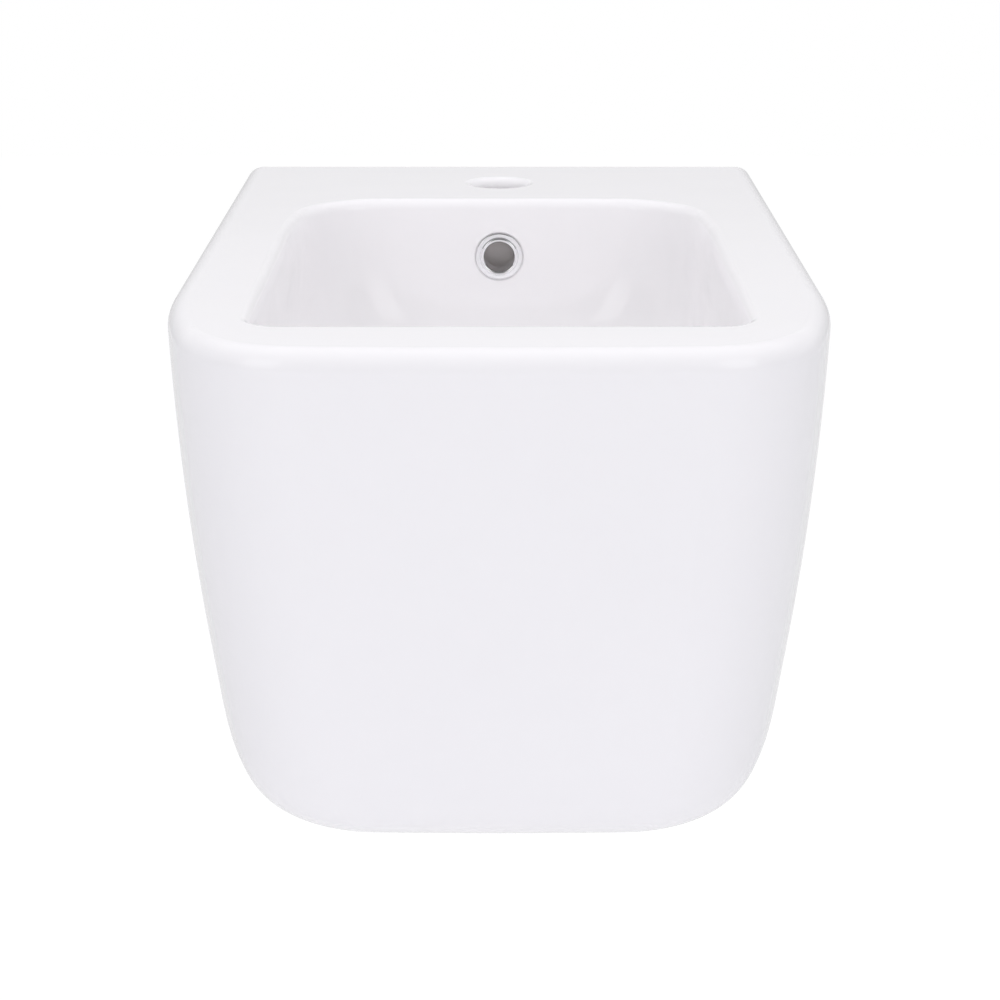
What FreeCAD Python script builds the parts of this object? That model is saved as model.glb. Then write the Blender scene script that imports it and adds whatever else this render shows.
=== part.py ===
import FreeCAD
import Part
import Sketcher
import math
import os

# A wall-hung bidet: one hollow china casting with its overflow trim, a push-push waste and a wall fixing set.
# Frame: X to the right, +Y into the wall, +Z up. The wall is the plane Y = 0.
# The origin is on the wall, midway between the two fixing studs. Lengths are in millimetres.

# Driving sizes: name, value, meaning.
SIZE_ROWS = [
    ("body_width", 355, "overall width of the deck"),
    ("body_reach", 545, "wall to the front of the deck"),
    ("body_height", 305, "deck to the flat base"),
    ("deck_rise", 80, "fixing line up to the deck"),
    ("corner_across", 79, "front corner, measured across"),
    ("corner_along", 145, "front corner, measured along the side"),
    ("corner_tight", 68, "tightest radius of the front corner"),
    ("corner_shrink", 0.42, "part of the taper that the corners lose"),
    ("front_bow", 1800, "radius of the slightly bowed front"),
    ("deck_round", 11, "rounding of the outer deck edge"),
    ("side_draft_top", 1.15, "lean of the sides at the deck, degrees"),
    ("side_draft_low", 8.2, "lean of the sides above the foot, degrees"),
    ("front_draft_top", 5.85, "lean of the front at the deck, degrees"),
    ("front_draft_low", 17.6, "lean of the front above the foot, degrees"),
    ("foot_height", 51, "height of the rounded foot"),
    ("foot_turn", 80, "lean of the foot where it meets the base, degrees"),
    ("china_wall", 11, "thickness of the outer china wall"),
    ("china_deck", 14, "thickness of the deck"),
    ("china_back", 14, "thickness of the wall flange"),
    ("china_floor", 12, "thickness of the base"),
    ("china_bowl", 10, "thickness of the basin"),
    ("basin_half", 130.4, "half width of the basin under its rim"),
    ("basin_rear", 130.3, "wall to the rear of the basin"),
    ("front_rim", 58.5, "width of the deck in front of the basin"),
    ("basin_depth", 128, "deck to the basin floor"),
    ("basin_corner_across", 57, "rear basin corner, measured across"),
    ("basin_corner_along", 117, "rear basin corner, measured along the side"),
    ("basin_corner_tight", 53, "tightest plan radius of the rear basin corners"),
    ("basin_front_corner", 20, "plan radius of the front basin corners"),
    ("basin_floor_half", 46, "half width of the flat basin floor"),
    ("rim_round", 5, "rounding of the basin rim"),
    ("tap_from_wall", 64, "wall to the tap hole"),
    ("tap_hole_width", 35, "tap hole diameter"),
    ("tap_edge_round", 2, "rounding of the tap hole edge"),
    ("overflow_drop", 37.4, "deck to the overflow hole"),
    ("overflow_hole_width", 23.6, "overflow hole diameter"),
    ("overflow_seat_width", 32.4, "diameter of the flat seat round the overflow hole"),
    ("overflow_seat_depth", 0.8, "depth of that seat"),
    ("duct_width", 34, "overflow duct, across"),
    ("duct_gap", 12, "overflow duct, front to back"),
    ("duct_wall", 8, "thickness of the duct wall"),
    ("duct_bend", 24, "bend radius of the duct"),
    ("duct_drop", 26, "basin floor to the middle of the duct's level run"),
    ("waste_from_wall", 262, "wall to the waste"),
    ("waste_hole_width", 46, "waste hole diameter"),
    ("waste_recess_width", 68, "diameter of the recess for the waste flange"),
    ("waste_recess_depth", 4, "depth of that recess"),
    ("waste_boss_width", 80, "diameter of the china boss round the waste"),
    ("waste_boss_height", 42, "basin floor to the foot of that boss"),
    ("stud_spacing", 180, "distance between the wall studs"),
    ("fixing_boss_width", 48, "diameter of the fixing bosses"),
    ("fixing_boss_reach", 38, "wall to the inner face of the fixing bosses"),
    ("fixing_hole_width", 21, "fixing hole diameter"),
    ("service_half", 84, "half width of the openings in the back and in the base"),
    ("service_top", 42, "fixing line down to the opening in the back"),
    ("service_corner", 34, "corner radius of that opening"),
    ("hatch_reach", 350, "wall to the front of the opening in the base"),
    ("hatch_corner", 60, "front corner radius of that opening"),
    ("opening_round", 3, "rounding of the outer edges of both openings"),
    ("ring_width", 30.8, "overflow ring diameter"),
    ("ring_bead_width", 25.4, "outer diameter of the ring's raised bead"),
    ("ring_bore", 19.4, "clear diameter through the ring"),
    ("ring_rise", 3, "height of the bead over the seat"),
    ("ring_brim", 1.5, "thickness of the ring's brim"),
    ("ring_sleeve", 13, "length of the ring's sleeve"),
    ("ring_sleeve_width", 21.4, "outer diameter of the ring's sleeve"),
    ("grip_ribs", 3, "ribs on the rubber grip"),
    ("waste_flange_width", 64, "waste flange diameter"),
    ("waste_flange_thick", 2.6, "waste flange thickness"),
    ("flange_land", 1, "flat of the waste flange outside the plug seal"),
    ("waste_tube_width", 41.9, "waste tube diameter over its thread"),
    ("waste_bore", 36.4, "clear diameter of the waste tube"),
    ("waste_length", 88, "basin floor to the end of the waste tube"),
    ("tail_length", 24, "free thread at the end of the waste tube"),
    ("tail_relief", 1.5, "height of the undercut over that thread"),
    ("tail_undercut", 0.6, "depth of that undercut"),
    ("window_width", 17, "width of an overflow window"),
    ("window_height", 14, "height of an overflow window"),
    ("window_count", 4, "overflow windows round the waste tube"),
    ("seal_thick", 1.6, "thickness of the flat flange seal"),
    ("cone_seal_width", 62, "cone seal diameter"),
    ("cone_seal_height", 8, "height of the cone seal under the china"),
    ("slip_ring_thick", 1.5, "slip ring thickness"),
    ("slip_ring_width", 55, "slip ring diameter"),
    ("back_nut_flats", 52, "back nut across its flats"),
    ("back_nut_height", 10, "back nut height"),
    ("spider_drop", 64, "basin floor to the top of the spider"),
    ("spider_height", 8, "spider height"),
    ("spider_arm", 4.5, "width of a spider arm"),
    ("spider_count", 3, "spider arms"),
    ("hub_width", 15, "hub diameter"),
    ("stub_width", 8, "barrel stub diameter"),
    ("stub_overhang", 2, "length of the barrel stub under the hub"),
    ("barrel_width", 17, "latch barrel diameter"),
    ("barrel_bore", 13.6, "latch barrel bore"),
    ("barrel_height", 38, "latch barrel height"),
    ("barrel_floor", 3, "latch barrel floor thickness"),
    ("collar_height", 4, "collar thickness over the barrel"),
    ("collar_plug", 4, "collar depth inside the barrel"),
    ("stem_width", 6, "plug stem diameter"),
    ("stem_head_width", 12.8, "diameter of the stem's head"),
    ("stem_head_height", 5, "height of the stem's head"),
    ("stem_spigot_width", 4.4, "diameter of the stem's lower spigot"),
    ("stem_spigot_length", 9, "length of the stem's lower spigot"),
    ("rotor_width", 10.6, "rotor diameter between its lugs"),
    ("rotor_height", 6.4, "rotor height"),
    ("lug_reach", 6.45, "radius over the rotor's lugs"),
    ("lug_width", 2.2, "width of a rotor lug"),
    ("lug_height", 4.3, "height of a rotor lug"),
    ("lug_count", 4, "rotor lugs"),
    ("spring_width", 11.4, "outer diameter of the spring"),
    ("spring_wire", 1.1, "spring wire diameter"),
    ("spring_turns", 5, "turns of the spring"),
    ("plug_travel", 9, "lift of the plug"),
    ("running_gap", 0.3, "gap between pieces that slide or turn"),
    ("fit_gap", 0.1, "gap between pieces that are screwed or pushed together"),
    ("cap_width", 62, "plug cap diameter"),
    ("cap_crown", 5, "rise of the cap's dome"),
    ("cap_edge", 1.6, "height of the cap's rim"),
    ("cap_shell", 2.4, "thickness of the cap's shell"),
    ("cap_boss_width", 12, "diameter of the cap's inner boss"),
    ("cap_boss_drop", 7, "length of the cap's inner boss under the rim"),
    ("plug_seal_inner", 20, "inner radius of the plug seal"),
    ("plug_seal_outer", 25, "outer radius of the plug seal"),
    ("plug_seal_thick", 3, "thickness of the plug seal"),
    ("stud_width", 12, "wall stud diameter"),
    ("stud_into_wall", 72, "length of a stud behind the wall face"),
    ("stud_inside", 64, "length of a stud in front of the wall face"),
    ("stud_shank_width", 10.8, "diameter of a stud's plain shank"),
    ("stud_nut_thread", 28, "length of the thread for the nut"),
    ("stud_bevel", 1.2, "bevel on the stud ends"),
    ("sleeve_width", 20.6, "stud sleeve diameter"),
    ("sleeve_brim_width", 36, "diameter of the sleeve's brim"),
    ("sleeve_brim_thick", 3, "thickness of the sleeve's brim"),
    ("sleeve_setback", 2, "wall to the end of the sleeve"),
    ("washer_width", 30, "fixing washer diameter"),
    ("washer_thick", 2.5, "fixing washer thickness"),
    ("fixing_nut_flats", 19, "fixing nut across its flats"),
    ("fixing_nut_height", 10, "fixing nut height"),
    ("grind_stock", 6, "china ground off the back"),
    ("cut_overrun", 60, "length that cuts run past the china"),
]

doc = FreeCAD.newDocument("WallHungBidet")
sheet = doc.addObject("Spreadsheet::Sheet", "Sizes")
for row, (alias, number, meaning) in enumerate(SIZE_ROWS, start=1):
    sheet.set(f"A{row}", meaning)
    sheet.set(f"B{row}", str(number))
    sheet.setAlias(f"B{row}", alias)
doc.recompute()


class Size:
    """A number together with the expression that works it out from the sheet."""

    def __init__(self, value, text):
        self.value = float(value)
        self.text = text

    def __add__(self, other):
        other = as_size(other)
        return Size(self.value + other.value, f"({self.text} + {other.text})")

    def __sub__(self, other):
        other = as_size(other)
        return Size(self.value - other.value, f"({self.text} - {other.text})")

    def __mul__(self, other):
        other = as_size(other)
        return Size(self.value * other.value, f"({self.text} * {other.text})")

    def __truediv__(self, other):
        other = as_size(other)
        return Size(self.value / other.value, f"({self.text} / {other.text})")

    def __radd__(self, other):
        return as_size(other) + self

    def __rsub__(self, other):
        return as_size(other) - self

    def __rmul__(self, other):
        return as_size(other) * self

    def __neg__(self):
        return Size(-self.value, f"(-1 * {self.text})")


def as_size(item):
    return item if isinstance(item, Size) else Size(item, repr(item))


def named(alias):
    return Size(sheet.get(alias), f"Sizes.{alias}")


def sine(angle):
    return Size(math.sin(math.radians(angle.value)), f"sin({angle.text})")


def cosine(angle):
    return Size(math.cos(math.radians(angle.value)), f"cos({angle.text})")


def tangent(angle):
    return Size(math.tan(math.radians(angle.value)), f"tan({angle.text})")


def root(item):
    return Size(math.sqrt(item.value), f"sqrt({item.text})")


ZERO = Size(0, "0")
Z_AXIS = FreeCAD.Vector(0, 0, 1)
ORIGIN_POINT = (-1, 1)
CROSS_AXIS, UP_AXIS = range(-1, -3, -1)
START, END, MIDDLE = range(1, 4)
TOUCH = 0.01
SLACK = 1


def flat(x, y):
    return FreeCAD.Vector(x.value, y.value, 0)


class Drawing:
    """A sketch on one of its body's own planes, with every dimension bound to the sheet."""

    def __init__(self, body, name, plane, lift=ZERO):
        self.sketch = body.newObject("Sketcher::SketchObject", name)
        planes = {feature.Role: feature for feature in body.Origin.OriginFeatures}
        self.sketch.AttachmentSupport = [(planes[plane], "")]
        self.sketch.MapMode = "FlatFace"
        self.sketch.setExpression("AttachmentOffset.Base.z", lift.text)

    def rule(self, kind, *references):
        return self.sketch.addConstraint(Sketcher.Constraint(kind, *references))

    def dimension(self, kind, references, size):
        index = self.rule(kind, *references, size.value)
        self.sketch.setExpression(f"Constraints[{index}]", size.text)

    def put_across(self, geometry, point, x):
        if x.text == ZERO.text:
            self.rule("PointOnObject", geometry, point, UP_AXIS)
        else:
            self.dimension("DistanceX", (*ORIGIN_POINT, geometry, point), x)

    def put_along(self, geometry, point, y):
        if y.text == ZERO.text:
            self.rule("PointOnObject", geometry, point, CROSS_AXIS)
        else:
            self.dimension("DistanceY", (*ORIGIN_POINT, geometry, point), y)

    def line(self, start, end):
        return self.sketch.addGeometry(Part.LineSegment(start, end), False)

    def arc(self, centre, radius, first, last):
        whole = Part.Circle(centre, Z_AXIS, radius)
        return self.sketch.addGeometry(Part.ArcOfCircle(whole, first, last), False)

    def circle(self, x, y, width):
        ring = self.sketch.addGeometry(Part.Circle(flat(x, y), Z_AXIS, width.value / 2), False)
        self.put_across(ring, MIDDLE, x)
        self.put_along(ring, MIDDLE, y)
        self.dimension("Diameter", (ring,), width)

    def outline(self, points, closed=True):
        """Edges through (x, y) points. A third entry bends the edge that leaves its point to that radius,
        with the centre on the left of the way it goes, or on the right where bend is negative."""
        count = len(points)
        edges = []
        for number in range(count if closed else count - 1):
            here = points[number]
            there = points[(number + 1) % count]
            start = flat(here[0], here[1])
            end = flat(there[0], there[1])
            if len(here) == 2:
                edges.append((self.line(start, end), START, END))
                continue
            radius = abs(here[2].value)
            half = (end - start) * 0.5
            left = FreeCAD.Vector(-half.y, half.x, 0).normalize()
            side = math.copysign(1, here[2].value)
            depth = math.sqrt(max(radius ** 2 - half.Length ** 2, 0))
            centre = start + half + left * (side * depth)
            turn_start = math.atan2(start.y - centre.y, start.x - centre.x)
            turn_end = math.atan2(end.y - centre.y, end.x - centre.x)
            if side > 0:
                edge = (self.arc(centre, radius, turn_start, turn_end), START, END)
            else:
                edge = (self.arc(centre, radius, turn_end, turn_start), END, START)
            self.dimension("Radius", (edge[0],), here[2] if side > 0 else -here[2])
            edges.append(edge)
        for number, (edge, first, last) in enumerate(edges):
            self.put_across(edge, first, points[number][0])
            self.put_along(edge, first, points[number][1])
            if closed or number + 1 < len(edges):
                after, after_first, _ = edges[(number + 1) % len(edges)]
                self.rule("Coincident", edge, last, after, after_first)
            else:
                self.put_across(edge, last, points[-1][0])
                self.put_along(edge, last, points[-1][1])
        return self

    def box(self, left, right, low, high):
        return self.outline([(left, low), (right, low), (right, high), (left, high)])

    def basin_section(self, section):
        """The basin's plan at one level: straight rear, sides and front, two-arc rear corners and round
        front corners, from Y = -rear to Y = -front."""
        half, rear, front = section["half"], section["rear"], section["front"]
        across, along, tight, lead = section["across"], section["along"], section["tight"], section["lead"]
        side, back, nose = half.value, -rear.value, -front.value
        knee = back - along.value
        small_x = side - across.value
        small_y = back - tight.value
        rise = small_y - knee
        wide = (across.value ** 2 + rise ** 2 - tight.value ** 2) / (2 * (across.value - tight.value))
        turn = math.atan2(rise, small_x - side + wide)
        inner = side - lead.value
        bend = nose + lead.value
        quarter = math.pi / 2
        vector = FreeCAD.Vector
        rear_edge = self.line(vector(small_x, back, 0), vector(-small_x, back, 0))
        left_tight = self.arc(vector(-small_x, small_y, 0), tight.value, quarter, math.pi - turn)
        left_wide = self.arc(vector(wide - side, knee, 0), wide, math.pi - turn, math.pi)
        left_edge = self.line(vector(-side, knee, 0), vector(-side, bend, 0))
        left_lead = self.arc(vector(-inner, bend, 0), lead.value, math.pi, 3 * quarter)
        front_edge = self.line(vector(-inner, nose, 0), vector(inner, nose, 0))
        right_lead = self.arc(vector(inner, bend, 0), lead.value, 3 * quarter, 4 * quarter)
        right_edge = self.line(vector(side, bend, 0), vector(side, knee, 0))
        right_wide = self.arc(vector(side - wide, knee, 0), wide, 0, turn)
        right_tight = self.arc(vector(small_x, small_y, 0), tight.value, turn, quarter)
        ring = [rear_edge, left_tight, left_wide, left_edge, left_lead, front_edge, right_lead, right_edge,
                right_wide, right_tight]
        for number, edge in enumerate(ring):
            self.rule("Tangent", edge, END, ring[(number + 1) % len(ring)], START)
        for edge in (rear_edge, front_edge):
            self.rule("Horizontal", edge)
        for edge in (left_edge, right_edge):
            self.rule("Vertical", edge)
        self.put_across(right_edge, START, half)
        self.put_across(left_edge, START, -half)
        self.put_along(rear_edge, START, -rear)
        self.put_along(front_edge, START, -front)
        self.put_along(left_edge, START, -rear - along)
        self.put_along(right_edge, END, -rear - along)
        self.put_across(left_tight, MIDDLE, across - half)
        self.put_across(right_tight, MIDDLE, half - across)
        for edge in (left_tight, right_tight):
            self.dimension("Radius", (edge,), tight)
        for edge in (left_lead, right_lead):
            self.dimension("Radius", (edge,), lead)
        return self

    def hull_section(self, section):
        """The body's plan at one level: straight rear and sides, two-arc corners and a bowed front."""
        half, reach, rear = section["half"], section["reach"], section["rear"]
        across, along, tight, bow = section["across"], section["along"], section["tight"], section["bow"]
        straight = reach - along
        small = FreeCAD.Vector(half.value - across.value, 0, 0)
        bow_y = bow.value - reach.value
        small.y = bow_y - math.sqrt((bow.value - tight.value) ** 2 - small.x ** 2)
        rise = small.y + straight.value
        wide = (across.value ** 2 + rise ** 2 - tight.value ** 2) / (2 * (across.value - tight.value))
        turn = math.atan2(rise, small.x - half.value + wide)
        lead = math.atan2(small.y - bow_y, small.x)
        vector = FreeCAD.Vector
        side, back, knee = half.value, rear.value, -straight.value
        rear_edge = self.line(vector(-side, back, 0), vector(side, back, 0))
        right_edge = self.line(vector(side, back, 0), vector(side, knee, 0))
        right_wide = self.arc(vector(side - wide, knee, 0), wide, turn, 0)
        right_tight = self.arc(small, tight.value, lead, turn)
        front_edge = self.arc(vector(0, bow_y, 0), bow.value, -math.pi - lead, lead)
        left_tight = self.arc(vector(-small.x, small.y, 0), tight.value, -math.pi - turn, -math.pi - lead)
        left_wide = self.arc(vector(wide - side, knee, 0), wide, -math.pi, -math.pi - turn)
        left_edge = self.line(vector(-side, knee, 0), vector(-side, back, 0))
        self.rule("Coincident", rear_edge, END, right_edge, START)
        self.rule("Tangent", right_edge, END, right_wide, END)
        self.rule("Tangent", right_wide, START, right_tight, END)
        self.rule("Tangent", right_tight, START, front_edge, END)
        self.rule("Tangent", front_edge, START, left_tight, END)
        self.rule("Tangent", left_tight, START, left_wide, END)
        self.rule("Tangent", left_wide, START, left_edge, START)
        self.rule("Coincident", left_edge, END, rear_edge, START)
        self.rule("Horizontal", rear_edge)
        self.rule("Vertical", right_edge)
        self.rule("Vertical", left_edge)
        self.put_across(right_edge, START, half)
        self.put_across(left_edge, END, -half)
        self.put_along(rear_edge, START, rear)
        self.put_along(right_edge, END, -straight)
        self.put_along(left_edge, START, -straight)
        self.dimension("Radius", (right_tight,), tight)
        self.dimension("Radius", (left_tight,), tight)
        self.put_across(right_tight, MIDDLE, half - across)
        self.put_across(left_tight, MIDDLE, across - half)
        self.put_across(front_edge, MIDDLE, ZERO)
        self.put_along(front_edge, MIDDLE, bow - reach)
        self.dimension("Radius", (front_edge,), bow)
        return self


def new_body(label):
    body = doc.addObject("PartDesign::Body", label)
    body.Label = label
    return body


def settle(body, feature, grows):
    """Recompute, and stop where a feature that should add or cut has left the volume as it was."""
    before = feature.BaseFeature.Shape.Volume if feature.BaseFeature else 0
    doc.recompute()
    change = feature.Shape.Volume - before
    if feature.State and ("Invalid" in feature.State or "Error" in feature.State):
        raise RuntimeError(f"{body.Label}: {feature.Name} failed")
    if (grows and change <= 0) or (not grows and change >= 0):
        raise RuntimeError(f"{body.Label}: {feature.Name} changed nothing")
    return feature


def pad(body, name, drawing, length, reverse=False):
    feature = body.newObject("PartDesign::Pad", name)
    feature.Profile = drawing.sketch
    feature.setExpression("Length", length.text)
    feature.Reversed = reverse
    return settle(body, feature, True)


def pocket(body, name, drawing, length, reverse=False):
    feature = body.newObject("PartDesign::Pocket", name)
    feature.Profile = drawing.sketch
    feature.setExpression("Length", length.text)
    feature.Reversed = reverse
    return settle(body, feature, False)


def revolve(body, name, drawing):
    feature = body.newObject("PartDesign::Revolution", name)
    feature.Profile = drawing.sketch
    feature.ReferenceAxis = (drawing.sketch, ["V_Axis"])
    feature.Angle = 360
    return settle(body, feature, True)


def loft(body, name, drawings, cut=False):
    kind = "PartDesign::SubtractiveLoft" if cut else "PartDesign::AdditiveLoft"
    feature = body.newObject(kind, name)
    feature.Profile = drawings[0].sketch
    feature.Sections = [drawing.sketch for drawing in drawings[1:]]
    return settle(body, feature, not cut)


def pipe(body, name, profile, spine, cut=False):
    kind = "PartDesign::SubtractivePipe" if cut else "PartDesign::AdditivePipe"
    feature = body.newObject(kind, name)
    feature.Profile = profile.sketch
    feature.Spine = (spine.sketch, [f"Edge{number + 1}" for number in range(spine.sketch.GeometryCount)])
    return settle(body, feature, not cut)


def fillet(body, name, base, edges, radius):
    feature = body.newObject("PartDesign::Fillet", name)
    feature.Base = (base, edges)
    feature.setExpression("Radius", radius.text)
    doc.recompute()
    if "Invalid" in feature.State or not feature.Shape.isValid():
        raise RuntimeError(f"{body.Label}: {name} failed")
    return feature


def ring_pattern(body, name, feature, count):
    """Repeat a feature evenly round the body's own Z axis."""
    axes = {item.Role: item for item in body.Origin.OriginFeatures}
    pattern = body.newObject("PartDesign::PolarPattern", name)
    pattern.Originals = [feature]
    pattern.Axis = (axes["Z_Axis"], [""])
    pattern.Angle = 360
    pattern.setExpression("Occurrences", count.text)
    body.Tip = pattern
    doc.recompute()
    return pattern


def edges_where(shape, test):
    return [f"Edge{number}" for number, edge in enumerate(shape.Edges, start=1) if test(edge)]


def place(body, x, y, z, turn=FreeCAD.Rotation()):
    body.Placement = FreeCAD.Placement(FreeCAD.Vector(x.value, y.value, z.value), turn)
    for letter, size in zip("xyz", (x, y, z)):
        body.setExpression(f"Placement.Base.{letter}", size.text)


# The hull: how far the sides and the front draw in below the deck.
DECK = named("deck_rise")
HULL_HALF = named("body_width") / 2
HULL_REACH = named("body_reach")
FOOT = named("foot_height")
KNEE = named("body_height") - FOOT


def drawn_in(part_way, draft_top, draft_low):
    """Inset between the deck and the foot: the lean grows evenly from one draft to the other."""
    depth = KNEE * part_way
    return tangent(draft_top) * depth + (tangent(draft_low) - tangent(draft_top)) * depth * part_way / 2


def foot_inset(part_way, draft_top, draft_low):
    """Inset down the rounded foot, a circular arc that starts at the lower draft."""
    radius = FOOT / (sine(named("foot_turn")) - sine(draft_low))
    lean = sine(draft_low) + FOOT * part_way / radius
    return drawn_in(Size(1, "1"), draft_top, draft_low) + radius * (cosine(draft_low) - root(1 - lean * lean))


def hull_section(inset_rule, part_way, wall, rear):
    side = inset_rule(part_way, named("side_draft_top"), named("side_draft_low"))
    front = inset_rule(part_way, named("front_draft_top"), named("front_draft_low"))
    across = named("corner_across") - named("corner_shrink") * side
    along = named("corner_along") - named("corner_shrink") * front
    tight = named("corner_tight") * across / named("corner_across")
    return {
        "half": HULL_HALF - side - wall,
        "reach": HULL_REACH - front - wall,
        "rear": rear,
        "across": across - wall,
        "along": along - wall,
        "tight": tight - wall,
        "bow": named("front_bow") - wall,
    }


SIDE_STEPS = (0, 0.2, 0.4, 0.6, 0.8, 1)
FOOT_STEPS = (0.5, 0.85, 1)
GRIND = named("grind_stock")
CLEAR = named("cut_overrun")


def hull_drawings(body, name, wall, rear, top, floor):
    """Level plan sections from the top down, drawn in by a wall thickness."""
    drawings = []
    for number, step in enumerate(SIDE_STEPS):
        part_way = top / KNEE if number == 0 else as_size(step)
        level = DECK - KNEE * part_way
        drawing = Drawing(body, f"{name}Side{number}", "XY_Plane", level)
        drawings.append(drawing.hull_section(hull_section(drawn_in, part_way, wall, rear)))
    for number, step in enumerate(FOOT_STEPS):
        level = DECK - KNEE - (FOOT - floor) * step
        drawing = Drawing(body, f"{name}Foot{number}", "XY_Plane", level)
        drawings.append(drawing.hull_section(hull_section(foot_inset, as_size(step), wall, rear)))
    doc.recompute()
    return drawings


# The basin: half width, rear, front and corner radii at each level under the deck.
BASIN_STEPS = (
    {"depth": 0, "side": 0, "rear": 0, "front": 0, "round": 0, "lean": 0},
    {"depth": 0.4, "side": 0.05, "rear": 0, "front": 0.05, "round": 0.15, "lean": 0.1},
    {"depth": 0.74, "side": 0.2, "rear": 0.14, "front": 0.19, "round": 0.6, "lean": 0.5},
    {"depth": 0.92, "side": 0.54, "rear": 0.46, "front": 0.47, "round": 0.9, "lean": 0.8},
    {"depth": 0.98, "side": 0.77, "rear": 0.72, "front": 0.72, "round": 0.96, "lean": 0.93},
    {"depth": 1, "side": 1, "rear": 1, "front": 1, "round": 1, "lean": 1},
)
# The rounding of the basin floor: its corners as parts of its half width, and the shape of a rear corner.
FLOOR_ROUND = 0.9
FLOOR_STRETCH = 1.1
FLOOR_TIGHT = 0.98
FLOOR_DRAW_IN = 0.6


def blend(first, last, part_way):
    return first + (last - first) * part_way


def basin_drawings(body, name, thickness, top):
    """Level plan sections of the basin, or of its underside where a thickness is given."""
    floor_half = named("basin_floor_half")
    floor_rear = named("waste_from_wall") - floor_half
    floor_front = named("waste_from_wall") + floor_half
    rim_share = named("basin_corner_across") / named("basin_half")
    rim_stretch = named("basin_corner_along") / named("basin_corner_across")
    rim_tight = named("basin_corner_tight") / named("basin_corner_across")
    rim_lead = named("basin_front_corner") / named("basin_half")
    drawings = []
    for number, step in enumerate(BASIN_STEPS):
        grow = thickness * (1 - FLOOR_DRAW_IN * step["lean"])
        half = blend(named("basin_half"), floor_half, step["side"])
        across = half * blend(rim_share, FLOOR_ROUND, step["round"])
        section = {
            "half": half + grow,
            "rear": blend(named("basin_rear"), floor_rear, step["rear"]) - grow,
            "front": blend(BASIN_FRONT, floor_front, step["front"]) + grow,
            "across": across + grow,
            "along": across * blend(rim_stretch, FLOOR_STRETCH, step["round"]) + grow,
            "tight": across * blend(rim_tight, FLOOR_TIGHT, step["round"]) + grow,
            "lead": half * blend(rim_lead, FLOOR_ROUND, step["round"]) + grow,
        }
        depth = top if number == 0 else named("basin_depth") * step["depth"] + thickness * step["lean"]
        drawing = Drawing(body, f"{name}{number}", "XY_Plane", DECK - depth)
        drawings.append(drawing.basin_section(section))
    doc.recompute()
    return drawings


BASIN_FLOOR = DECK - named("basin_depth")
BASIN_FRONT = HULL_REACH - named("front_rim")
WASTE_Y = -named("waste_from_wall")
OVERFLOW_Z = DECK - named("overflow_drop")
DUCT_Y = named("china_bowl") + named("duct_gap") / 2 - named("basin_rear")
DUCT_Z = BASIN_FLOOR - named("duct_drop")
STUD_X = named("stud_spacing") / 2


def duct_route(body, name, top, end):
    """The overflow's way: down behind the rear basin wall, round a bend and level to the waste."""
    bend = named("duct_bend")
    points = [(DUCT_Y, top), (DUCT_Y, DUCT_Z + bend, -bend), (DUCT_Y - bend, DUCT_Z), (end, DUCT_Z)]
    return Drawing(body, name, "YZ_Plane").outline(points, closed=False)


def duct_profile(body, name, top, wall):
    half_width = named("duct_width") / 2 + wall
    half_gap = named("duct_gap") / 2 + wall
    profile = Drawing(body, name, "XY_Plane", top)
    return profile.box(-half_width, half_width, DUCT_Y - half_gap, DUCT_Y + half_gap)


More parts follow.
